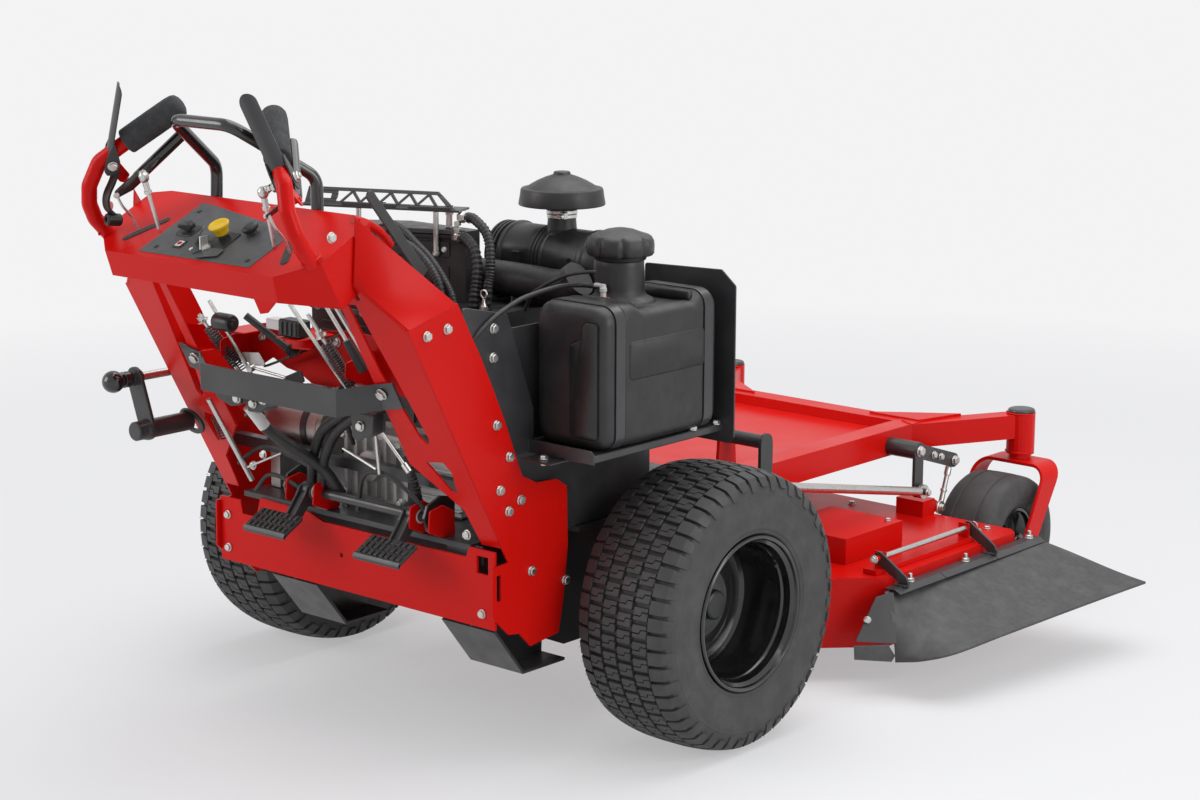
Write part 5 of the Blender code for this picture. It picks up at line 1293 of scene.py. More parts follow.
for x, y, size in mm((-73, -852, 11.5), (145, -868, 4), (-128, -868, 4), (150, -806, 4), (-130, -752, 4)):
    slab_on_console(base, [(x - size, y - size), (x + size, y - size), (x + size, y + size),
                           (x - size, y + size)], 0.0009, 0.0028, 0.002)
piece("control_bases", base, PLASTIC, "machine", 30)
smoky = bmesh.new()
wide = Vector((0.02, -0.02, 0))
foot = on_console(-0.03, -0.846, 0.004)
head = on_console(-0.012, -0.828, 0.03)
plate(smoky, [foot - wide, foot + wide, head + wide * 0.9, head - wide * 0.9], (-0.0016, -0.0016, 0.001),
      0.0004)
slab_on_console(smoky, mm((-52, -848), (-10, -874), (10, -846), (-30, -818)), 0.0012, 0.003, 0.003)
slab_on_console(smoky, mm((12, -886), (62, -872), (60, -852), (14, -852)), 0.0036, 0.0054, 0.003)
piece("switch_guard", smoky, SLATE, "machine", 25)
lamp = bmesh.new()
slab_on_console(lamp, mm((-81, -860), (-65, -860), (-65, -844), (-81, -844)), 0.0028, 0.004, 0.002)
turned(lamp, mm((1, 0), (1, 5), (3, 4.4), (3.6, 2), (3.6, 0)), on_console(-0.029, -0.861), UPRIGHT_WAY, 16)
piece("lamp_frame", lamp, WHITE, "machine", 25)
lens = bmesh.new()
turned(lens, mm((3.9, 0), (3.9, 5.2), (5, 4.8), (5.6, 2.5), (5.6, 0)), on_console(-0.073, -0.852),
       UPRIGHT_WAY, 20)
piece("lamp_lens", lens, RED, "machine", 30)

rocker = bmesh.new()
THROTTLE = on_console(-0.095, -0.811)
turned(rocker, mm((3.2, 0), (3.2, 2.3), (14, 2.3), (14, 0)), THROTTLE, UPRIGHT_WAY, 12)
grip_side = mm((-21, 9), (-6, 6), (15, 6), (21.5, 10), (22.5, 19), (16, 24), (-4, 22), (-20, 17))
grip = [THROTTLE + UPRIGHT_WAY * up + Vector((aside, 0, 0)) - UPHILL * 0.008 for aside, up in grip_side]
plate(rocker, eased(grip, 0.004), UPHILL * 0.016, 0.0026)
piece("throttle_rocker", rocker, PEBBLED, "throttle", 30, ("throttle_lever",))
pull = bmesh.new()
turned(pull, mm((-20, 0), (-20, 4.8), (8.5, 4.8), (8.8, 11), (10, 14.5), (14, 16), (18, 15.5),
                (20.5, 12.5), (21.2, 8), (21.2, 0)), CHOKE, UPRIGHT_WAY, 36,
       lambda angle, along: 1 + (0.16 * math.cos(angle * 2) if along > 0.0087 else 0))
piece("choke_pull", pull, PEBBLED, "choke", 35, ("choke_knob",))
print("console dressed")

# %% [markdown]
# ## Handles
# Each handle is one bent tube welded to the console. The CAD bends it in a few straight steps, and here the
# same path is rounded finely. It ends in a foam grip, a turned sleeve with rounded ends. The presence blade
# is a steel strip rolled hollow towards the grip, with two cheeks that straddle the tube and share a bolt
# with it. Below hangs the drive lever: a plastic sleeve on a flat steel plate, joined to a ball joint whose
# threaded rod goes down through the slot. A thinner bent rod comes from the tail of the plate.

# %% Directions of the left and right handle
GRIP_LOW = Vector((0.229, -0.86, 1.291))
GRIP_TOP = Vector((0.1345, -0.785, 1.3737))
BLADE_PIVOT = Vector((0.259, -0.869, 1.256))
BLADE_TOP = Vector((0.18, -0.894, 1.417))
LEVER_PIVOT = Vector((0.236, -0.848, 1.206))
BLADE_WAY = (BLADE_TOP - BLADE_PIVOT).normalized()
BLADE_HINGE = BLADE_WAY.cross((GRIP_TOP - GRIP_LOW).normalized()).normalized()


def mirror(spot, way):
    return Vector((spot[0] * way, spot[1], spot[2]))


# %% Bent tubes of the handles, and the bar between them
def half_pipe(form, place, start, length, half=0.0213, thick=0.0026):
    """A strip rolled hollow towards the grip, with a round far end. place(u, w, n) gives a point."""
    rows = []
    for k in range(29):
        u = start + (length - start) * (1 - (1 - k / 28) ** 2)
        left = min(1.0, (length - u) / 0.02)
        wide = half * (1 - 0.18 * min(1.0, (u - start) / 0.03))
        width = max(0.0015, wide * math.sqrt(1 - (1 - left) ** 2))
        outer = [(width * (i / 6 - 1), 0.0105 * (width / half * (i / 6 - 1)) ** 2 - 0.013)
                 for i in range(13)]
        inner = [(w, n + thick) for w, n in reversed(outer)]
        rows.append([form.verts.new(place(u, w, n)) for w, n in outer + inner])
    for near, far in zip(rows, rows[1:]):
        for k in range(26):
            m = (k + 1) % 26
            form.faces.new((near[k], far[k], far[m], near[m]))
    for k in range(12):
        form.faces.new((rows[0][k], rows[0][k + 1], rows[0][24 - k], rows[0][25 - k]))
        form.faces.new((rows[-1][25 - k], rows[-1][24 - k], rows[-1][k + 1], rows[-1][k]))


HANDLE_PATH = mm((303, -846, 1100), (309, -876, 1134), (306, -892, 1166), (295, -899, 1204),
                 (275.5, -887, 1253))
CHEEK = mm((-25, -8), (-22, 9), (-12, 13), (10, 14), (28, 7), (48, -1), (48, -6), (26, -12), (4, -14.5),
           (-16, -14.5))
for name, way in (("left", -1), ("right", 1)):
    grip_way = (mirror(GRIP_TOP, way) - mirror(GRIP_LOW, way)).normalized()
    bolt_at = mirror(BLADE_PIVOT, way)
    blade_way = mirror(BLADE_WAY, way)
    hinge = mirror(BLADE_HINGE, way)
    pivot = mirror(LEVER_PIVOT, way)
    bends = [mirror(p, way) for p in HANDLE_PATH]
    handle = bmesh.new()
    walk = bends + [mirror(GRIP_LOW, way), mirror(GRIP_TOP, way) - grip_way * 0.012]
    swept(handle, eased(walk, 0.03, 8, False), round_bar(0.016, 28))
    run = (mirror(GRIP_LOW, way) - bends[-1]).normalized()
    foot = bends[-1] + run * (pivot - bends[-1]).dot(run)
    out = (foot - pivot).dot(hinge)
    knuckle = pivot + hinge * out
    ear = [foot - run * 0.016, foot + run * 0.016, knuckle + run * 0.01,
           knuckle - run * 0.01 - (foot - knuckle) * 0.15, knuckle - run * 0.016]
    plate(handle, eased(ear, 0.004), hinge * 0.004, 0.0006)
    turned(handle, ((-abs(out) - 0.002, 0), (-abs(out) - 0.002, 0.005), (0.004, 0.005), (0.004, 0)), pivot,
           hinge * -math.copysign(1, out), 16)
    piece("bent_handle_" + name, handle, RED, "machine", 40, ("grip_tube_" + name,))

    toward = (grip_way - blade_way * grip_way.dot(blade_way)).normalized()
    span = (BLADE_TOP - BLADE_PIVOT).length
    blade = bmesh.new()

    def on_blade(u, w, n):
        return bolt_at + blade_way * u + hinge * w + toward * n

    half_pipe(blade, on_blade, 0.028, span)
    for face in (-1, 1):
        plate(blade, eased([on_blade(u, face * 0.0182, n) for u, n in CHEEK], 0.005), hinge * face * 0.003,
              0.0005)
    piece("rolled_blade_" + name, blade, BLACK, "presence_" + name, 35,
          ("presence_blade_" + name,))
bar = bmesh.new()
bar_half = mm((152, -689.7, 1110), (149, -687.7, 1239), (85, -852, 1349))
walk = [Vector(p) for p in bar_half] + [mirror(p, -1) for p in reversed(bar_half)]
swept(bar, eased(walk, 0.04, 8, False), round_bar(0.0125, 24))
piece("bent_bar", bar, GLOSS, "machine", 40, ("reference_bar",))
print("tubes and blades bent")

# %% Foam grips, drive lever sleeves, ball joints and hinge bolts
for name, way in (("left", -1), ("right", 1)):
    low = mirror(GRIP_LOW, way)
    top = mirror(GRIP_TOP, way)
    along = (top - low).normalized()
    length = (top - low).length
    foam = bmesh.new()
    turned(foam, ((0.006, 0), (0.006, 0.024), (0.0072, 0.026), (0.01, 0.027), (0.03, 0.0272),
                  (length * 0.5, 0.0275), (length - 0.026, 0.0272), (length - 0.013, 0.0258),
                  (length - 0.006, 0.0225), (length - 0.002, 0.016), (length, 0.009), (length, 0)), low,
           along, 48)
    piece("foam_sleeve_" + name, foam, FOAM, "machine", 50, ("foam_grip_" + name,))

    lever_low = mirror((0.24, -0.825, 1.215), way)
    lever_top = mirror((0.155, -0.757, 1.317), way)
    tail = mirror((0.228, -0.885, 1.192), way)
    pivot = mirror(LEVER_PIVOT, way)
    run = (lever_top - lever_low).normalized()
    reach = (lever_top - lever_low).length
    hinge = mirror(BLADE_HINGE, way)
    wide = run.cross(hinge).normalized() * 0.012
    grip = bmesh.new()
    turned(grip, ((0, 0), (0, 0.0085), (0.003, 0.011), (0.008, 0.012), (0.03, 0.0122),
                  (reach - 0.01, 0.0125), (reach - 0.003, 0.0112), (reach, 0.0075), (reach, 0)), lever_low,
           run, 32)
    outline = [lever_low + run * 0.02 + wide, lever_low + run * 0.02 - wide, tail - wide * 0.6,
               tail + wide * 0.6 - run * 0.004, pivot + wide * 1.2]
    plate(grip, eased(outline, 0.006), hinge * 0.005, 0.0008)
    lug = mirror((0.178, -0.854, 1.229), way)
    middle = lever_low.lerp(lever_top, 0.42)
    plate(grip, eased([middle + run * 0.014, middle - run * 0.014, lug - run * 0.008, lug + run * 0.008],
                      0.004), hinge * 0.005, 0.0006)
    piece("lever_sleeve_" + name, grip, GLOSS, "lever_" + name, 35, ("drive_lever_" + name,))
    joint = bmesh.new()
    into = mirror((0.172, -0.824, 1.12), way)
    drop = (into - lug).normalized()
    turned(joint, ((-0.0105, 0), (-0.009, 0.006), (-0.004, 0.0105), (0.004, 0.0108), (0.009, 0.009),
                   (0.012, 0.0062), (0.03, 0.0062), (0.031, 0.008), (0.037, 0.008), (0.038, 0.004),
                   ((into - lug).length, 0.004), ((into - lug).length, 0)), lug, drop, 20)
    bolt(joint, lug - hinge * 0.0085, -hinge, 0.008)
    bend = mirror((0.2275, -0.846, 1.14), way)
    swept(joint, smooth([tail, tail.lerp(bend, 0.5) + Vector((0, -0.004, 0)), bend,
                         mirror((0.2265, -0.826, 1.1), way)], 6), round_bar(0.0029, 10))
    bolt(joint, tail + hinge * 0.0052, hinge, 0.006)
    piece("lever_rods_" + name, joint, ZINC, "lever_" + name, 30)

    hinge_bolt = bmesh.new()
    spot = mirror(BLADE_PIVOT, way)
    bolt(hinge_bolt, spot + hinge * 0.0214, hinge, 0.01)
    bolt(hinge_bolt, spot - hinge * 0.0214, -hinge, 0.01, stub=0.004)
    bolt(hinge_bolt, mirror((0.3305, -0.822, 1.152), way), mirror((1, 0, 0), way), 0.01)
    piece("handle_bolts_" + name, hinge_bolt, ZINC, "machine", 25)

    if way > 0:
        continue
    spring = bmesh.new()
    can = mirror((0.262, -0.867, 1.135), way)
    turned(spring, mm((-16, 0), (-16, 11), (-13, 13), (13, 13), (16, 11), (16, 5.5), (-10, 5.5), (-10, 0)),
           can, mirror((0.25, -0.95, 0.1), way), 28)
    strap = [mirror(p, way) for p in mm((262, -860, 1140), (264, -880, 1160), (262, -882, 1185),
                                        (256, -870, 1215), (252, -862, 1240))]
    swept(spring, smooth(strap, 6), lambda share: mm((10, -2.5), (10, 2.5), (-10, 2.5), (-10, -2.5)))
    piece("torsion_spring_" + name, spring, PLASTIC, "machine", 30)
print("handles dressed")

# %% [markdown]
# The sheet between each side plate and the console is bent in one sweep. The CAD has it in eight flat
# strips. This skin follows the same straight rulings in forty steps and lies just over them, so the light
# runs across it smoothly.

# %% Smooth skins of the shoulders
for name, way in (("left", -1), ("right", 1)):
    fold = (mirror((0.4225, -0.7125, 0.967), way), mirror((0.3303, -0.766, 1.055), way))
    edge = (mirror((0.4225, -0.579, 1.004), way), mirror((0.3303, -0.757, 1.182), way))
    outward = mirror((0.7071, 0, 0.7071), way)
    skin = bmesh.new()
    rows = []
    for k in range(41):
        low = fold[0].lerp(fold[1], k / 40)
        high = edge[0].lerp(edge[1], k / 40)
        face = [low.lerp(high, 0.02 + 0.96 * i / 8) for i in range(9)]
        rows.append([skin.verts.new(p + outward * 0.0022) for p in face]
                    + [skin.verts.new(p - outward * 0.001) for p in reversed(face)])
    bridge(skin, rows)
    for row in (rows[0], rows[-1]):
        for k in range(8):
            skin.faces.new((row[k], row[k + 1], row[16 - k], row[17 - k]))
    bmesh.ops.recalc_face_normals(skin, faces=skin.faces)
    piece("shoulder_skin_" + name, skin, RED, "machine", 40)
print("shoulders smoothed")

# %% [markdown]
# ## Between the uprights
# This is the busy part: damper springs on long rods, a wiring plug, bent red brackets, two hoses that dive
# to the pumps, the silencer and a casting behind. All of it is static dressing that was sighted on the
# photograph, so each piece is a path or an outline at an assumed depth.

# %% Springs on their rods
rods = bmesh.new()
RODS = (((-0.243, -0.668, 0.917), (-0.197, -0.585, 0.774), 0.004),
        ((-0.208, -0.668, 0.95), (-0.15, -0.578, 0.745), 0.004),
        ((0.066, -0.691, 0.977), (0.138, -0.58, 0.766), 0.0042),
        ((0.118, -0.69, 0.962), (0.15, -0.582, 0.78), 0.0042),
        ((0.158, -0.68, 0.985), (0.182, -0.644, 0.907), 0.0044),
        ((0.209, -0.7, 0.99), (0.222, -0.625, 0.87), 0.0044),
        ((-0.288, -0.61, 0.72), (-0.28, -0.5, 0.523), 0.0058),
        ((-0.27, -0.52, 0.557), (-0.161, -0.52, 0.605), 0.0025),
        ((0.109, -0.5, 0.69), (0.119, -0.5, 0.6), 0.0036),
        ((0.127, -0.5, 0.691), (0.204, -0.5, 0.622), 0.0036),
        ((0.01, -0.5, 0.639), (0.11, -0.5, 0.609), 0.003),
        ((-0.139, -0.61, 0.807), (-0.04, -0.61, 0.8), 0.003))
for start, end, radius in RODS:
    swept(rods, [Vector(start), Vector(start).lerp(Vector(end), 0.5), Vector(end)], round_bar(radius, 12))
for spot, way in (((-0.239, -0.66, 0.903), (0.34, 0.6, -1)), ((0.124, -0.661, 0.915), (0.18, 0.6, -1))):
    turned(rods, mm((-12, 0), (-12, 8), (-2, 8), (-1, 12.5), (1, 13), (2.5, 12), (2.5, 0)), spot, way, 6)
turned(rods, mm((0, 0), (0, 7.5), (22, 7.5), (24, 4.5), (24, 0)), (0.192, -0.5, 0.633), (0.77, 0, -0.69),
       10)
turned(rods, mm((-6, 0), (-6, 8.5), (6, 8.5), (6, 0)), (-0.145, -0.613, 0.807), (0, 1, 0.2), 12)
piece("silver_rods", rods, ZINC, "machine", 40)
coils = bmesh.new()
coil(coils, (-0.234, -0.651, 0.889), (-0.205, -0.6, 0.802), 0.0112, 0.0036, 17)
coil(coils, (-0.197, -0.622, 0.845), (-0.179, -0.598, 0.798), 0.0085, 0.0026, 10)
coil(coils, (0.126, -0.651, 0.899), (0.143, -0.596, 0.806), 0.0115, 0.0036, 17)
coil(coils, (-0.337, -0.55, 0.665), (-0.308, -0.55, 0.62), 0.0095, 0.003, 9)
piece("damper_springs", coils, PLASTIC, "machine", 60)
print("rods", len(RODS))

# %% Boots, plug, control bar and hoses
soft = bmesh.new()
swept(soft, smooth(mm((181, -646, 911), (190, -634, 884), (203, -620, 848)), 6),
      round_bar(lambda share: 0.0085 + 0.0025 * share, 14))
swept(soft, mm((-102, -662, 930), (-60, -632, 890), (-28, -607, 859)), round_bar(0.0078, 14))
swept(soft, smooth(mm((-34, -611, 864), (-26, -605, 857), (-18, -600, 850)), 10),
      round_bar(lambda share: 0.012 + 0.0012 * math.sin(share * 40), 16))
PUMP_HOSES = (mm((100, -535, 790), (72, -528, 750), (39, -520, 723), (-22, -508, 687), (-65, -496, 654),
                 (-101, -484, 595), (-118, -472, 544), (-134, -462, 496)),
              mm((137, -537, 792), (108, -528, 752), (76, -520, 724), (19, -508, 689), (-24, -496, 656),
                 (-65, -484, 601), (-85, -472, 550), (-100, -462, 496)))
for points in PUMP_HOSES:
    swept(soft, smooth(points, 7), round_bar(0.011, 16))
swept(soft, smooth(mm((-156, -580, 686), (-150, -568, 668), (-131, -547, 644), (-106, -520, 618),
                      (-70, -480, 575), (-50, -450, 520)), 7), round_bar(0.0122, 16))
swept(soft, smooth(mm((162, -465, 640), (176, -462, 600), (184, -455, 560), (186, -440, 500)), 14),
      corrugated(0.009, 16))
THIN_HOSES = (mm((-300, -520, 560), (-250, -500, 600), (-180, -480, 590), (-100, -470, 560),
                 (-20, -460, 500)),
              mm((-270, -500, 500), (-220, -500, 545), (-150, -490, 530), (-120, -480, 500)),
              mm((20, -470, 500), (50, -480, 580), (120, -490, 600), (200, -480, 560), (240, -460, 500)),
              mm((-50, -500, 800), (0, -520, 760), (20, -500, 700), (0, -460, 640)))
for points in THIN_HOSES:
    swept(soft, smooth(points, 7), round_bar(0.0048, 10))
piece("tower_hoses", soft, SLEEVE, "machine", 50)
pale = bmesh.new()
swept(pale, mm((-163, -606, 722), (-158, -590, 699), (-153, -572, 673)), round_bar(0.0132, 20))
block(pale, (-0.05, -0.652, 0.908), (-0.01, -0.626, 0.93), 0.002)
plate(pale, eased(mm((-192, -600, 833), (-137, -600, 838), (-114, -600, 813), (-162, -600, 808)), 0.004),
      (0, 0.004, 0))
piece("pale_fittings", pale, WHITE, "machine", 30)
plug = bmesh.new()
block(plug, (-0.009, -0.655, 0.898), (0.05, -0.622, 0.934), 0.003)
for x in (0.0, 0.014, 0.028, 0.042):
    block(plug, (x - 0.003, -0.658, 0.902), (x + 0.003, -0.654, 0.93), 0.001)
turned(plug, mm((0, 0), (0, 17.5), (6, 19), (44, 19), (50, 16.5), (50, 9), (58, 8.5), (58, 0)),
       (-0.2, -0.655, 0.906), (1, 0, 0), 28)
piece("plug_and_solenoid", plug, PLASTIC, "machine", 30)

# %% [markdown]
# The red bracket is one bent plate from upright to upright. Smaller black brackets hang under the strap and
# hold pins and bolts. The silencer gets a strap and rolled ends, and the gear casting gets ribs and lugs, as
# castings have where a plain wall would be too weak.

# %% Brackets, silencer strap, casting
red = bmesh.new()
cross = mm((-419, 862), (-261, 868), (-180, 890), (-95, 904), (-75, 892), (22, 898), (100, 908),
           (260, 900), (419, 880), (419, 815), (260, 790), (150, 800), (77, 796), (50, 782), (-22, 782),
           (-60, 800), (-98, 805), (-140, 822), (-183, 797), (-262, 820), (-419, 810))
plate(red, eased([(x, -0.556, z) for x, z in cross], 0.006), (0, 0.004, 0), 0.0008)
plate(red, eased(mm((-95, -556.5, 900), (22, -556.5, 894), (40, -612, 868), (-40, -612, 862)), 0.006),
      (0, 0.0006, 0.004), 0.0006)
plate(red, eased(mm((-12, -662, 893.5), (56, -662, 893.5), (56, -560, 893.5), (-12, -560, 893.5)), 0.006),
      (0, 0, 0.003), 0.0006)
plate(red, eased(mm((-205, -640, 883), (-135, -640, 883), (-135, -560, 883), (-205, -560, 883)), 0.006),
      (0, 0, 0.003), 0.0006)
for x in (-0.212, 0.168):
    plate(red, eased([(x, -0.556, 0.8), (x, -0.556, 0.88), (x, -0.64, 0.862), (x, -0.64, 0.83)], 0.01),
          (0.004, 0, 0))
for side in (-1, 1):
    plate(red, eased([(side * 0.395, -0.42, 0.64), (side * 0.395, -0.56, 0.8), (side * 0.395, -0.49, 0.8),
                      (side * 0.395, -0.34, 0.64)], 0.01), (side * 0.004, 0, 0))
for x0, x1 in ((-0.17, -0.084), (0.206, 0.262)):
    for x in (x0, x1):
        plate(red, eased([(x, -0.462, 0.482), (x, -0.505, 0.5), (x, -0.5, 0.545), (x, -0.462, 0.552),
                          (x, -0.43, 0.535), (x, -0.425, 0.482)], 0.008), (0.004, 0, 0))
piece("red_brackets", red, RED, "machine", 25)
black = bmesh.new()
swept(black, mm((-136, -580, 807), (-40, -580, 844), (95, -580, 905)),
      lambda share: mm((6, -2), (6, 2), (-6, 2), (-6, -2)))
plate(black, eased(mm((-55, -610, 797), (4, -610, 822), (15, -610, 799), (-9, -610, 787)), 0.004),
      (0, 0.004, 0))
for outline in (mm((-131, 765), (-47, 768), (-47, 742), (-75, 736), (-100, 720), (-138, 718)),
                mm((176, 764), (240, 768), (237, 725), (192, 703), (178, 712)),
                mm((-250, 770), (-200, 775), (-160, 752), (-155, 730), (-190, 722), (-235, 735))):
    plate(black, eased([(x, -0.632, z) for x, z in outline], 0.006), (0, 0.005, 0))
    plate(black, eased([(x, -0.6, z) for x, z in outline], 0.006), (0, 0.005, 0))
plate(black, mm((-240, -640, 762), (240, -640, 762), (240, -560, 772), (-240, -560, 772)),
      (0, 0.0005, 0.004))
block(black, (-0.205, -0.307, 0.655), (0.235, -0.301, 0.798), 0.002)
block(black, (0.27, -0.456, 0.44), (0.372, -0.453, 0.48), 0.001)
for x in (-0.15, -0.09, -0.03, 0.03, 0.09, 0.15):
    block(black, (x - 0.004, -0.313, 0.665), (x + 0.004, -0.306, 0.788), 0.0015)
block(black, (-0.34, -0.3, 0.483), (-0.31, -0.295, 0.7), 0.001)
turned(black, mm((-8.5, 0), (-8.5, 59), (-8.5, 60), (8.5, 60), (8.5, 59), (8.5, 0)), (-0.215, -0.35, 0.63),
       (1, 0, 0), 48)
piece("black_brackets", black, BLACK, "machine", 25)
can = bmesh.new()
turned(can, mm((-345, 0), (-345, 46), (-344, 54), (-340, 56.5), (-337, 58), (-334, 57), (-330, 57.2),
               (-180, 57.2), (-176, 57), (-173, 58), (-170, 56.5), (-166, 54), (-165, 46), (-165, 0)),
       (0, -0.35, 0.63), (1, 0, 0), 56)
turned(can, mm((0, 0), (0, 17), (50, 17), (50, 0)), (-0.168, -0.345, 0.63), (1, 0.3, 0), 24)
block(can, (-0.33, -0.4, 0.483), (-0.3, -0.3, 0.585), 0.001)
piece("silencer_can", can, BAKED, "machine", 40, ("muffler",))
casting = bmesh.new()
block(casting, (-0.135, -0.36, 0.483), (0.06, -0.296, 0.64), 0.006)
for x in (-0.12, -0.09, -0.06, -0.03, 0.0, 0.03):
    block(casting, (x, -0.372, 0.5), (x + 0.008, -0.359, 0.63), 0.002)
GEAR_LUGS = mm((-125, 628), (48, 628), (-125, 500), (48, 500))
for x, z in GEAR_LUGS:
    turned(casting, mm((0, 0), (0, 12), (12, 11), (12, 0)), (x, -0.358, z), (0, -1, 0), 20)
turned(casting, mm((0, 0), (0, 34), (10, 33), (14, 24), (14, 14), (24, 13), (24, 0)),
       (-0.04, -0.371, 0.57), (0, -1, 0), 36)
block(casting, (0.08, -0.34, 0.483), (0.2, -0.29, 0.6), 0.006)
for z in (0.5, 0.52, 0.54, 0.56, 0.58):
    block(casting, (0.076, -0.35, z), (0.204, -0.339, z + 0.006), 0.002)
piece("gear_casting", casting, CASTING, "machine", 35)
spots = []
for y, size, places in ((-0.3703, 0.009, GEAR_LUGS),
                        (-0.6322, 0.01, mm((-168, 742), (-86, 750), (-118, 738), (204, 737))),
                        (-0.5562, 0.009, mm((-170, 862), (60, 880), (300, 850), (-330, 840))),
                        (-0.3072, 0.008, mm((-190, 785), (220, 785), (220, 670)))):
    spots += [((x, y, z), (0, -1, 0), size) for x, z in places]
spots += [((-0.262, -0.51, 0.56), (0, -1, 0.2), 0.009), ((-0.228, -0.51, 0.59), (0, -1, 0), 0.009)]
bolts("tower_bolts", spots)
print("towers filled")

# %% [markdown]
# ## Deck lift at the front
# Each front crank is a black plate on a bushed hub. A domed screw closes the hub and two bolts clamp the
# plates. From its front end hangs the drop link, a threaded rod with an eye at each end and a lock nut, so
# the deck can be levelled. The link takes the place of the CAD's flat one and turns with its body.

# %% Crank bolts and eyed links
CRANK = Vector((0, 1.039, 0.43))
HANG = Vector((0, 1.195, 0.38))
DECK_END = Vector((0, 1.155, 0.264))
for name, way in (("left", -1), ("right", 1)):
    out = Vector((way, 0, 0))
    face = Vector((way * 0.4282, 0, 0))
    bolts("crank_bolts_" + name, [(face + CRANK, out, 0.013), (face + CRANK.lerp(HANG, 0.4), out, 0.009),
                                  (face + CRANK.lerp(HANG, 0.6), out, 0.009), (face + HANG, out, 0.012),
                                  (Vector((way * 0.4547, 1.039, 0.33)), out, 0.009)],
          "crank_" + name)
    side_x = Vector((way * 0.4157, 0, 0))
    drop = (DECK_END - HANG).normalized()
    link = bmesh.new()
    reach = (DECK_END - HANG).length
    turned(link, ((0.016, 0), (0.016, 0.007), (0.022, 0.0085), (0.04, 0.0085), (0.041, 0.0062),
                  (reach - 0.048, 0.0062), (reach - 0.047, 0.0085), (reach - 0.041, 0.0085),
                  (reach - 0.04, 0.0065), (reach - 0.016, 0.007), (reach - 0.016, 0)), side_x + HANG, drop,
           20)
    for end in (HANG, DECK_END):
        turned(link, mm((-4, 6), (-4, 16), (-3, 17.5), (3, 17.5), (4, 16), (4, 6)), side_x + end, out, 32)
    bolt(link, side_x + DECK_END + out * 0.0042, out, 0.01)
    piece("eyed_link_" + name, link, ZINC, "link_" + name, 30, ("drop_link_" + name,))
print("front of the lift made")

# %% [markdown]
# ## Pedals
# Each pedal is a casting: a hub, two cheeks that run down to the tread and a web between them. The tread has
# a row of teeth, so a boot doesn't slip. A pale bushing shows at each end of the hub.

# %% Cast pedals with toothed treads
PEDAL = Vector((0, -0.47, 0.52))
TEETH = 8
ahead = Vector((0, 0.012, 0.0066))
for name, low_x, high_x, arm_x, body in (("lift_pedal", -0.22, -0.09, -0.125, "pedal_lift"),
                                         ("brake_pedal", 0.12, 0.255, 0.19, "pedal_brake")):
    cast = bmesh.new()
    hub = PEDAL + Vector((arm_x, 0, 0))
    turned(cast, mm((-16.5, 11.8), (-16.5, 18), (-15, 19.2), (15, 19.2), (16.5, 18), (16.5, 11.8)), hub,
           (1, 0, 0), 28)
    arm = mm((-474, 538), (-492, 532), (-503, 514), (-531, 479), (-578, 447), (-574, 437), (-520, 456),
             (-492, 488), (-474, 501.5))
    for shift in (-0.015, 0.009):
        plate(cast, eased([(arm_x + shift, y, z) for y, z in arm], 0.005), (0.006, 0, 0), 0.0012)
    web = mm((-490, 520), (-528, 473), (-560, 452), (-556, 446), (-524, 462), (-494, 496))
    plate(cast, [(arm_x - 0.0095, y, z) for y, z in web], (0.019, 0, 0), 0.001)
    sole = mm((-526, 477), (-579.5, 447.5), (-583, 443), (-579.5, 439), (-525, 469))
    plate(cast, [(low_x, y, z) for y, z in sole], (high_x - low_x, 0, 0), 0.0012)
    lip = mm((-579, 450), (-583, 443), (-580.5, 436), (-576.5, 437), (-576, 448))
    plate(cast, [(low_x, y, z) for y, z in lip], (high_x - low_x, 0, 0), 0.0008)
    pitch = (high_x - low_x - 0.006) / TEETH
    wide = Vector((pitch * 0.62, 0, 0))
    for k in range(TEETH):
        x = low_x + 0.003 + k * pitch
        for at in (0.1, 0.42, 0.74):
            foot = Vector((x + pitch * 0.18, -0.5795 + 0.0535 * at, 0.4472 + 0.0295 * at))
            plate(cast, [foot, foot + wide, foot + wide + ahead, foot + ahead], (0, -0.0022, 0.0036),
                  0.0008)
    piece("cast_" + name, cast, BLACK, body, 30, (name,))
    bush = bmesh.new()
    for way in (-1, 1):
        turned(bush, mm((16.8, 11.6), (16.8, 15.5), (20.5, 15), (20.5, 11.6)), hub, (way, 0, 0), 28)
    piece(name + "_bushes", bush, WHITE, "machine", 30)
print("pedals cast")

# %% [markdown]
# ## Lever at the left upright
# The lever carries a ball knob outside the left upright. A flanged tube turns in the panel, a link with
# round ends goes up from it, and a rod slides through the link's eye. The ball has a finish of its own, so
# it is a piece beside the rod, and both ride on the same body.

# %% Link, flanged tube, ball and rod
LOCK = Vector((-0.4, 0, 0.65))
EYE = Vector((-0.438, 0, 0.757))
KNOB_END = EYE + Vector((0, -0.69, 0))
link = bmesh.new()
along = (EYE - LOCK).normalized()
aside = Vector((along.z, 0, -along.x))
outline = []
for end, way in ((LOCK, -1), (EYE, 1)):
    for k in range(11):
        angle = math.radians(-90 + 18 * k)
        outline.append(end + (along * math.cos(angle) + aside * math.sin(angle)) * 0.024 * way
                       + Vector((0, -0.6895, 0)))
plate(link, outline, (0, 0.009, 0), 0.0012)
turned(link, mm((-723, 0), (-723, 18.5), (-720.5, 20.8), (-700, 21), (-695, 22.5), (-690, 24),
                (-680, 22.5), (-675, 21), (-572, 20.8), (-572, 0)), LOCK, (0, 1, 0), 36)
turned(link, mm((-697, 10.5), (-697, 16.5), (-689, 17.5), (-680, 17.5), (-673, 16.5), (-673, 10.5)), EYE,
       (0, 1, 0), 28)
piece("round_link", link, BLACK, "lock", 28, ("lock_lever",))
flange = bmesh.new()
spot = Vector((-0.4, -0.5595, 0.65))
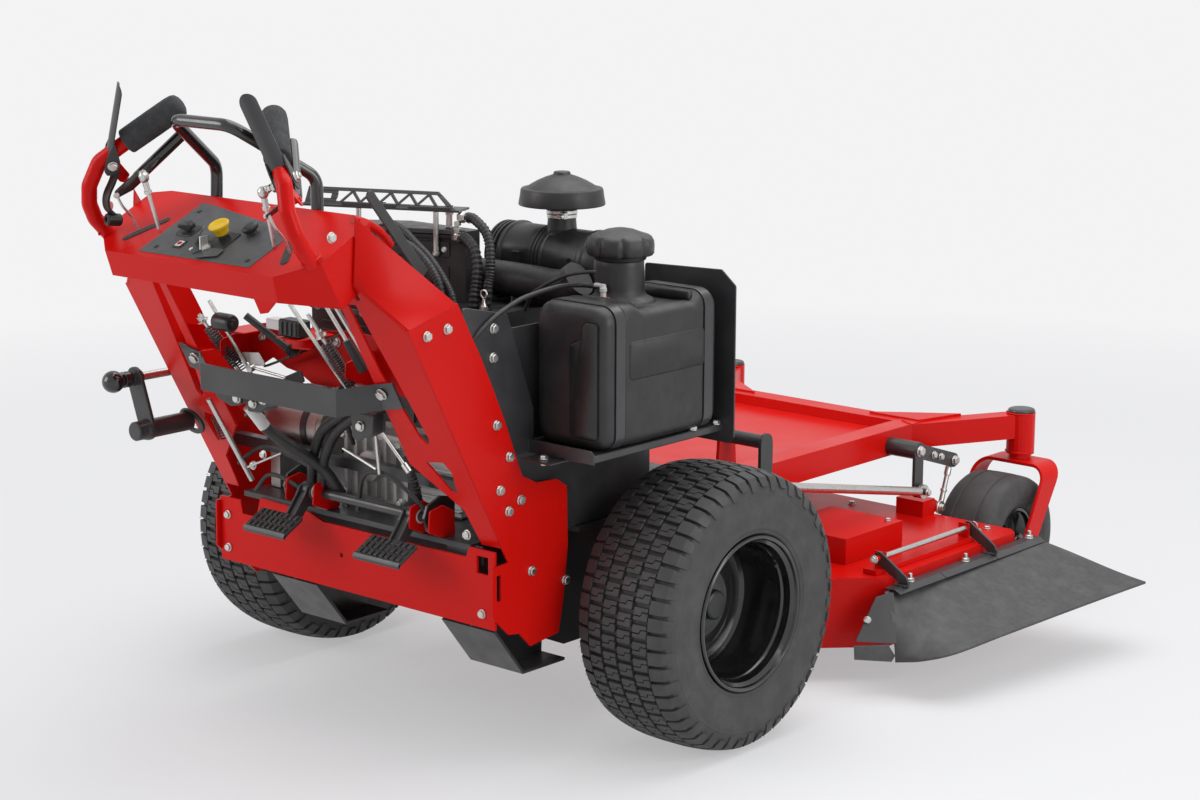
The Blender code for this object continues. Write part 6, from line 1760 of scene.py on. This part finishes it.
turned(flange, mm((-8, 22.2), (-8, 33), (-4.5, 34.5), (-3, 34.5), (-3, 22.2)), spot, (-0.06, 0.88, 0.47),
       36)
piece("tube_flange", flange, PLASTIC, "machine", 30)
ball = bmesh.new()
profile = [(-0.0787, 0)]
profile += [(-0.0545 - 0.0242 * math.cos(math.radians(9 * k)), 0.0242 * math.sin(math.radians(9 * k)))
            for k in range(1, 16)]
profile += mm((-31, 11), (-30, 16.5), (-29, 17.5), (-15, 17.5), (-14, 13), (-13, 13), (-13, 0))
turned(ball, profile, KNOB_END, (0, 1, 0), 36)
piece("ball_knob", ball, GLOSS, "lock_plunger", 40)
rod = bmesh.new()
turned(rod, mm((-30, 0), (-30, 8), (-12.5, 8), (-12.5, 9.2), (235, 9.2), (235, 0)), KNOB_END, (0, 1, 0), 28)
piece("sliding_rod", rod, ZINC, "lock_plunger", 40, ("lock_pin",))
print("lever at the left upright made")

# %% [markdown]
# ## Fasteners and welds
# The side plates, the rear of the frame, its floor and the deck get the bolts that the photograph shows,
# and the front frame and the handles get weld beads. A weld is a row of overlapping drops; a swept bar with
# a rippling radius reads the same and stays one closed body.

# %% Weld beads and bolts
def weld(form, points, radius=0.0032):
    if len(points) > 2:
        path = smooth(points, 8)
    else:
        path = [Vector(points[0]).lerp(Vector(points[1]), k / 16) for k in range(17)]
    swept(form, path, round_bar(lambda share: radius * (1 + 0.16 * math.sin(share * len(path) * 2.6)), 8))


FLOOR = 0.443
welds = bmesh.new()
for side in (-1, 1):
    x = side * CASTER_X
    for z in (0.37, 0.4705):
        arc = [math.radians(200 + 14 * k) for k in range(11)]
        weld(welds, [(x + 0.0365 * math.cos(a), PIVOT_Y + 0.0365 * math.sin(a), z) for a in arc], 0.0022)
    weld(welds, [(side * 0.338, 1.128, 0.47), (side * 0.3, 1.148, 0.47)])
    weld(welds, [(side * 0.2785, 0.36, FLOOR), (side * 0.2785, 0.745, FLOOR),
                 (side * 0.2785, 1.135, FLOOR)], 0.0018)
    weld(welds, [(side * 0.303, -0.872, 1.101), (side * 0.318, -0.86, 1.108),
                 (side * 0.319, -0.842, 1.115), (side * 0.306, -0.83, 1.119)], 0.0026)
piece("welds", welds, RED, "machine", 60)

side_spots = mm((-664, 952), (-608, 959), (-470, 745), (-433, 674), (-461, 609), (-400, 578), (-436, 561),
                (-368, 422), (-264, 381))
spots = [((side * 0.4252, y, z), (side, 0, 0), 0.01) for side in (-1, 1) for y, z in side_spots]
bolts("side_plate_bolts", spots)
rear_spots = [((side * 0.2825, -0.6475, 0.8165), (0, -0.88, -0.47), 0.012) for side in (-1, 1)]
rear_spots += [((x, -0.4723, z), (0, -1, 0), 0.009) for x, z in mm((-395, 420), (385, 345), (-395, 345))]
rear_spots += [((0.345, -0.4725, 0.505), (0, -1, 0), 0.01)]
bolts("rear_bolts", rear_spots)
spots = [((side * 0.266, y, FLOOR + 0.0002), (0, 0, 1), 0.011) for side in (-1, 1) for y in (0.46, 0.897)]
spots += [((side * x, y, 0.483), (0, 0, 1), 0.01) for side in (-1, 1)
          for x, y in ((0.325, 0.31), (0.24, 0.31), (0.325, -0.29))]
bolts("frame_bolts", spots)
deck_spots = [((side * x, y, 0.3123), (0, 0, 1), 0.008) for side in (-1, 1)
              for x, y in ((0.34, 0.625), (0.5, 0.805))]
deck_spots += [((side * 0.59, y, 0.2502), (0, 0, 1), 0.009) for side in (-1, 1) for y in (1.06, 1.1)]
deck_spots += [((x, 1.08, 0.2502), (0, 0, 1), 0.009) for x in (-0.2, 0.2)]
deck_spots += [((-0.6602, y, 0.225), (-1, 0, 0), 0.009) for y in (0.64, 0.86, 1.08)]
bolts("deck_bolts", deck_spots, "deck")
print("fasteners and welds made")
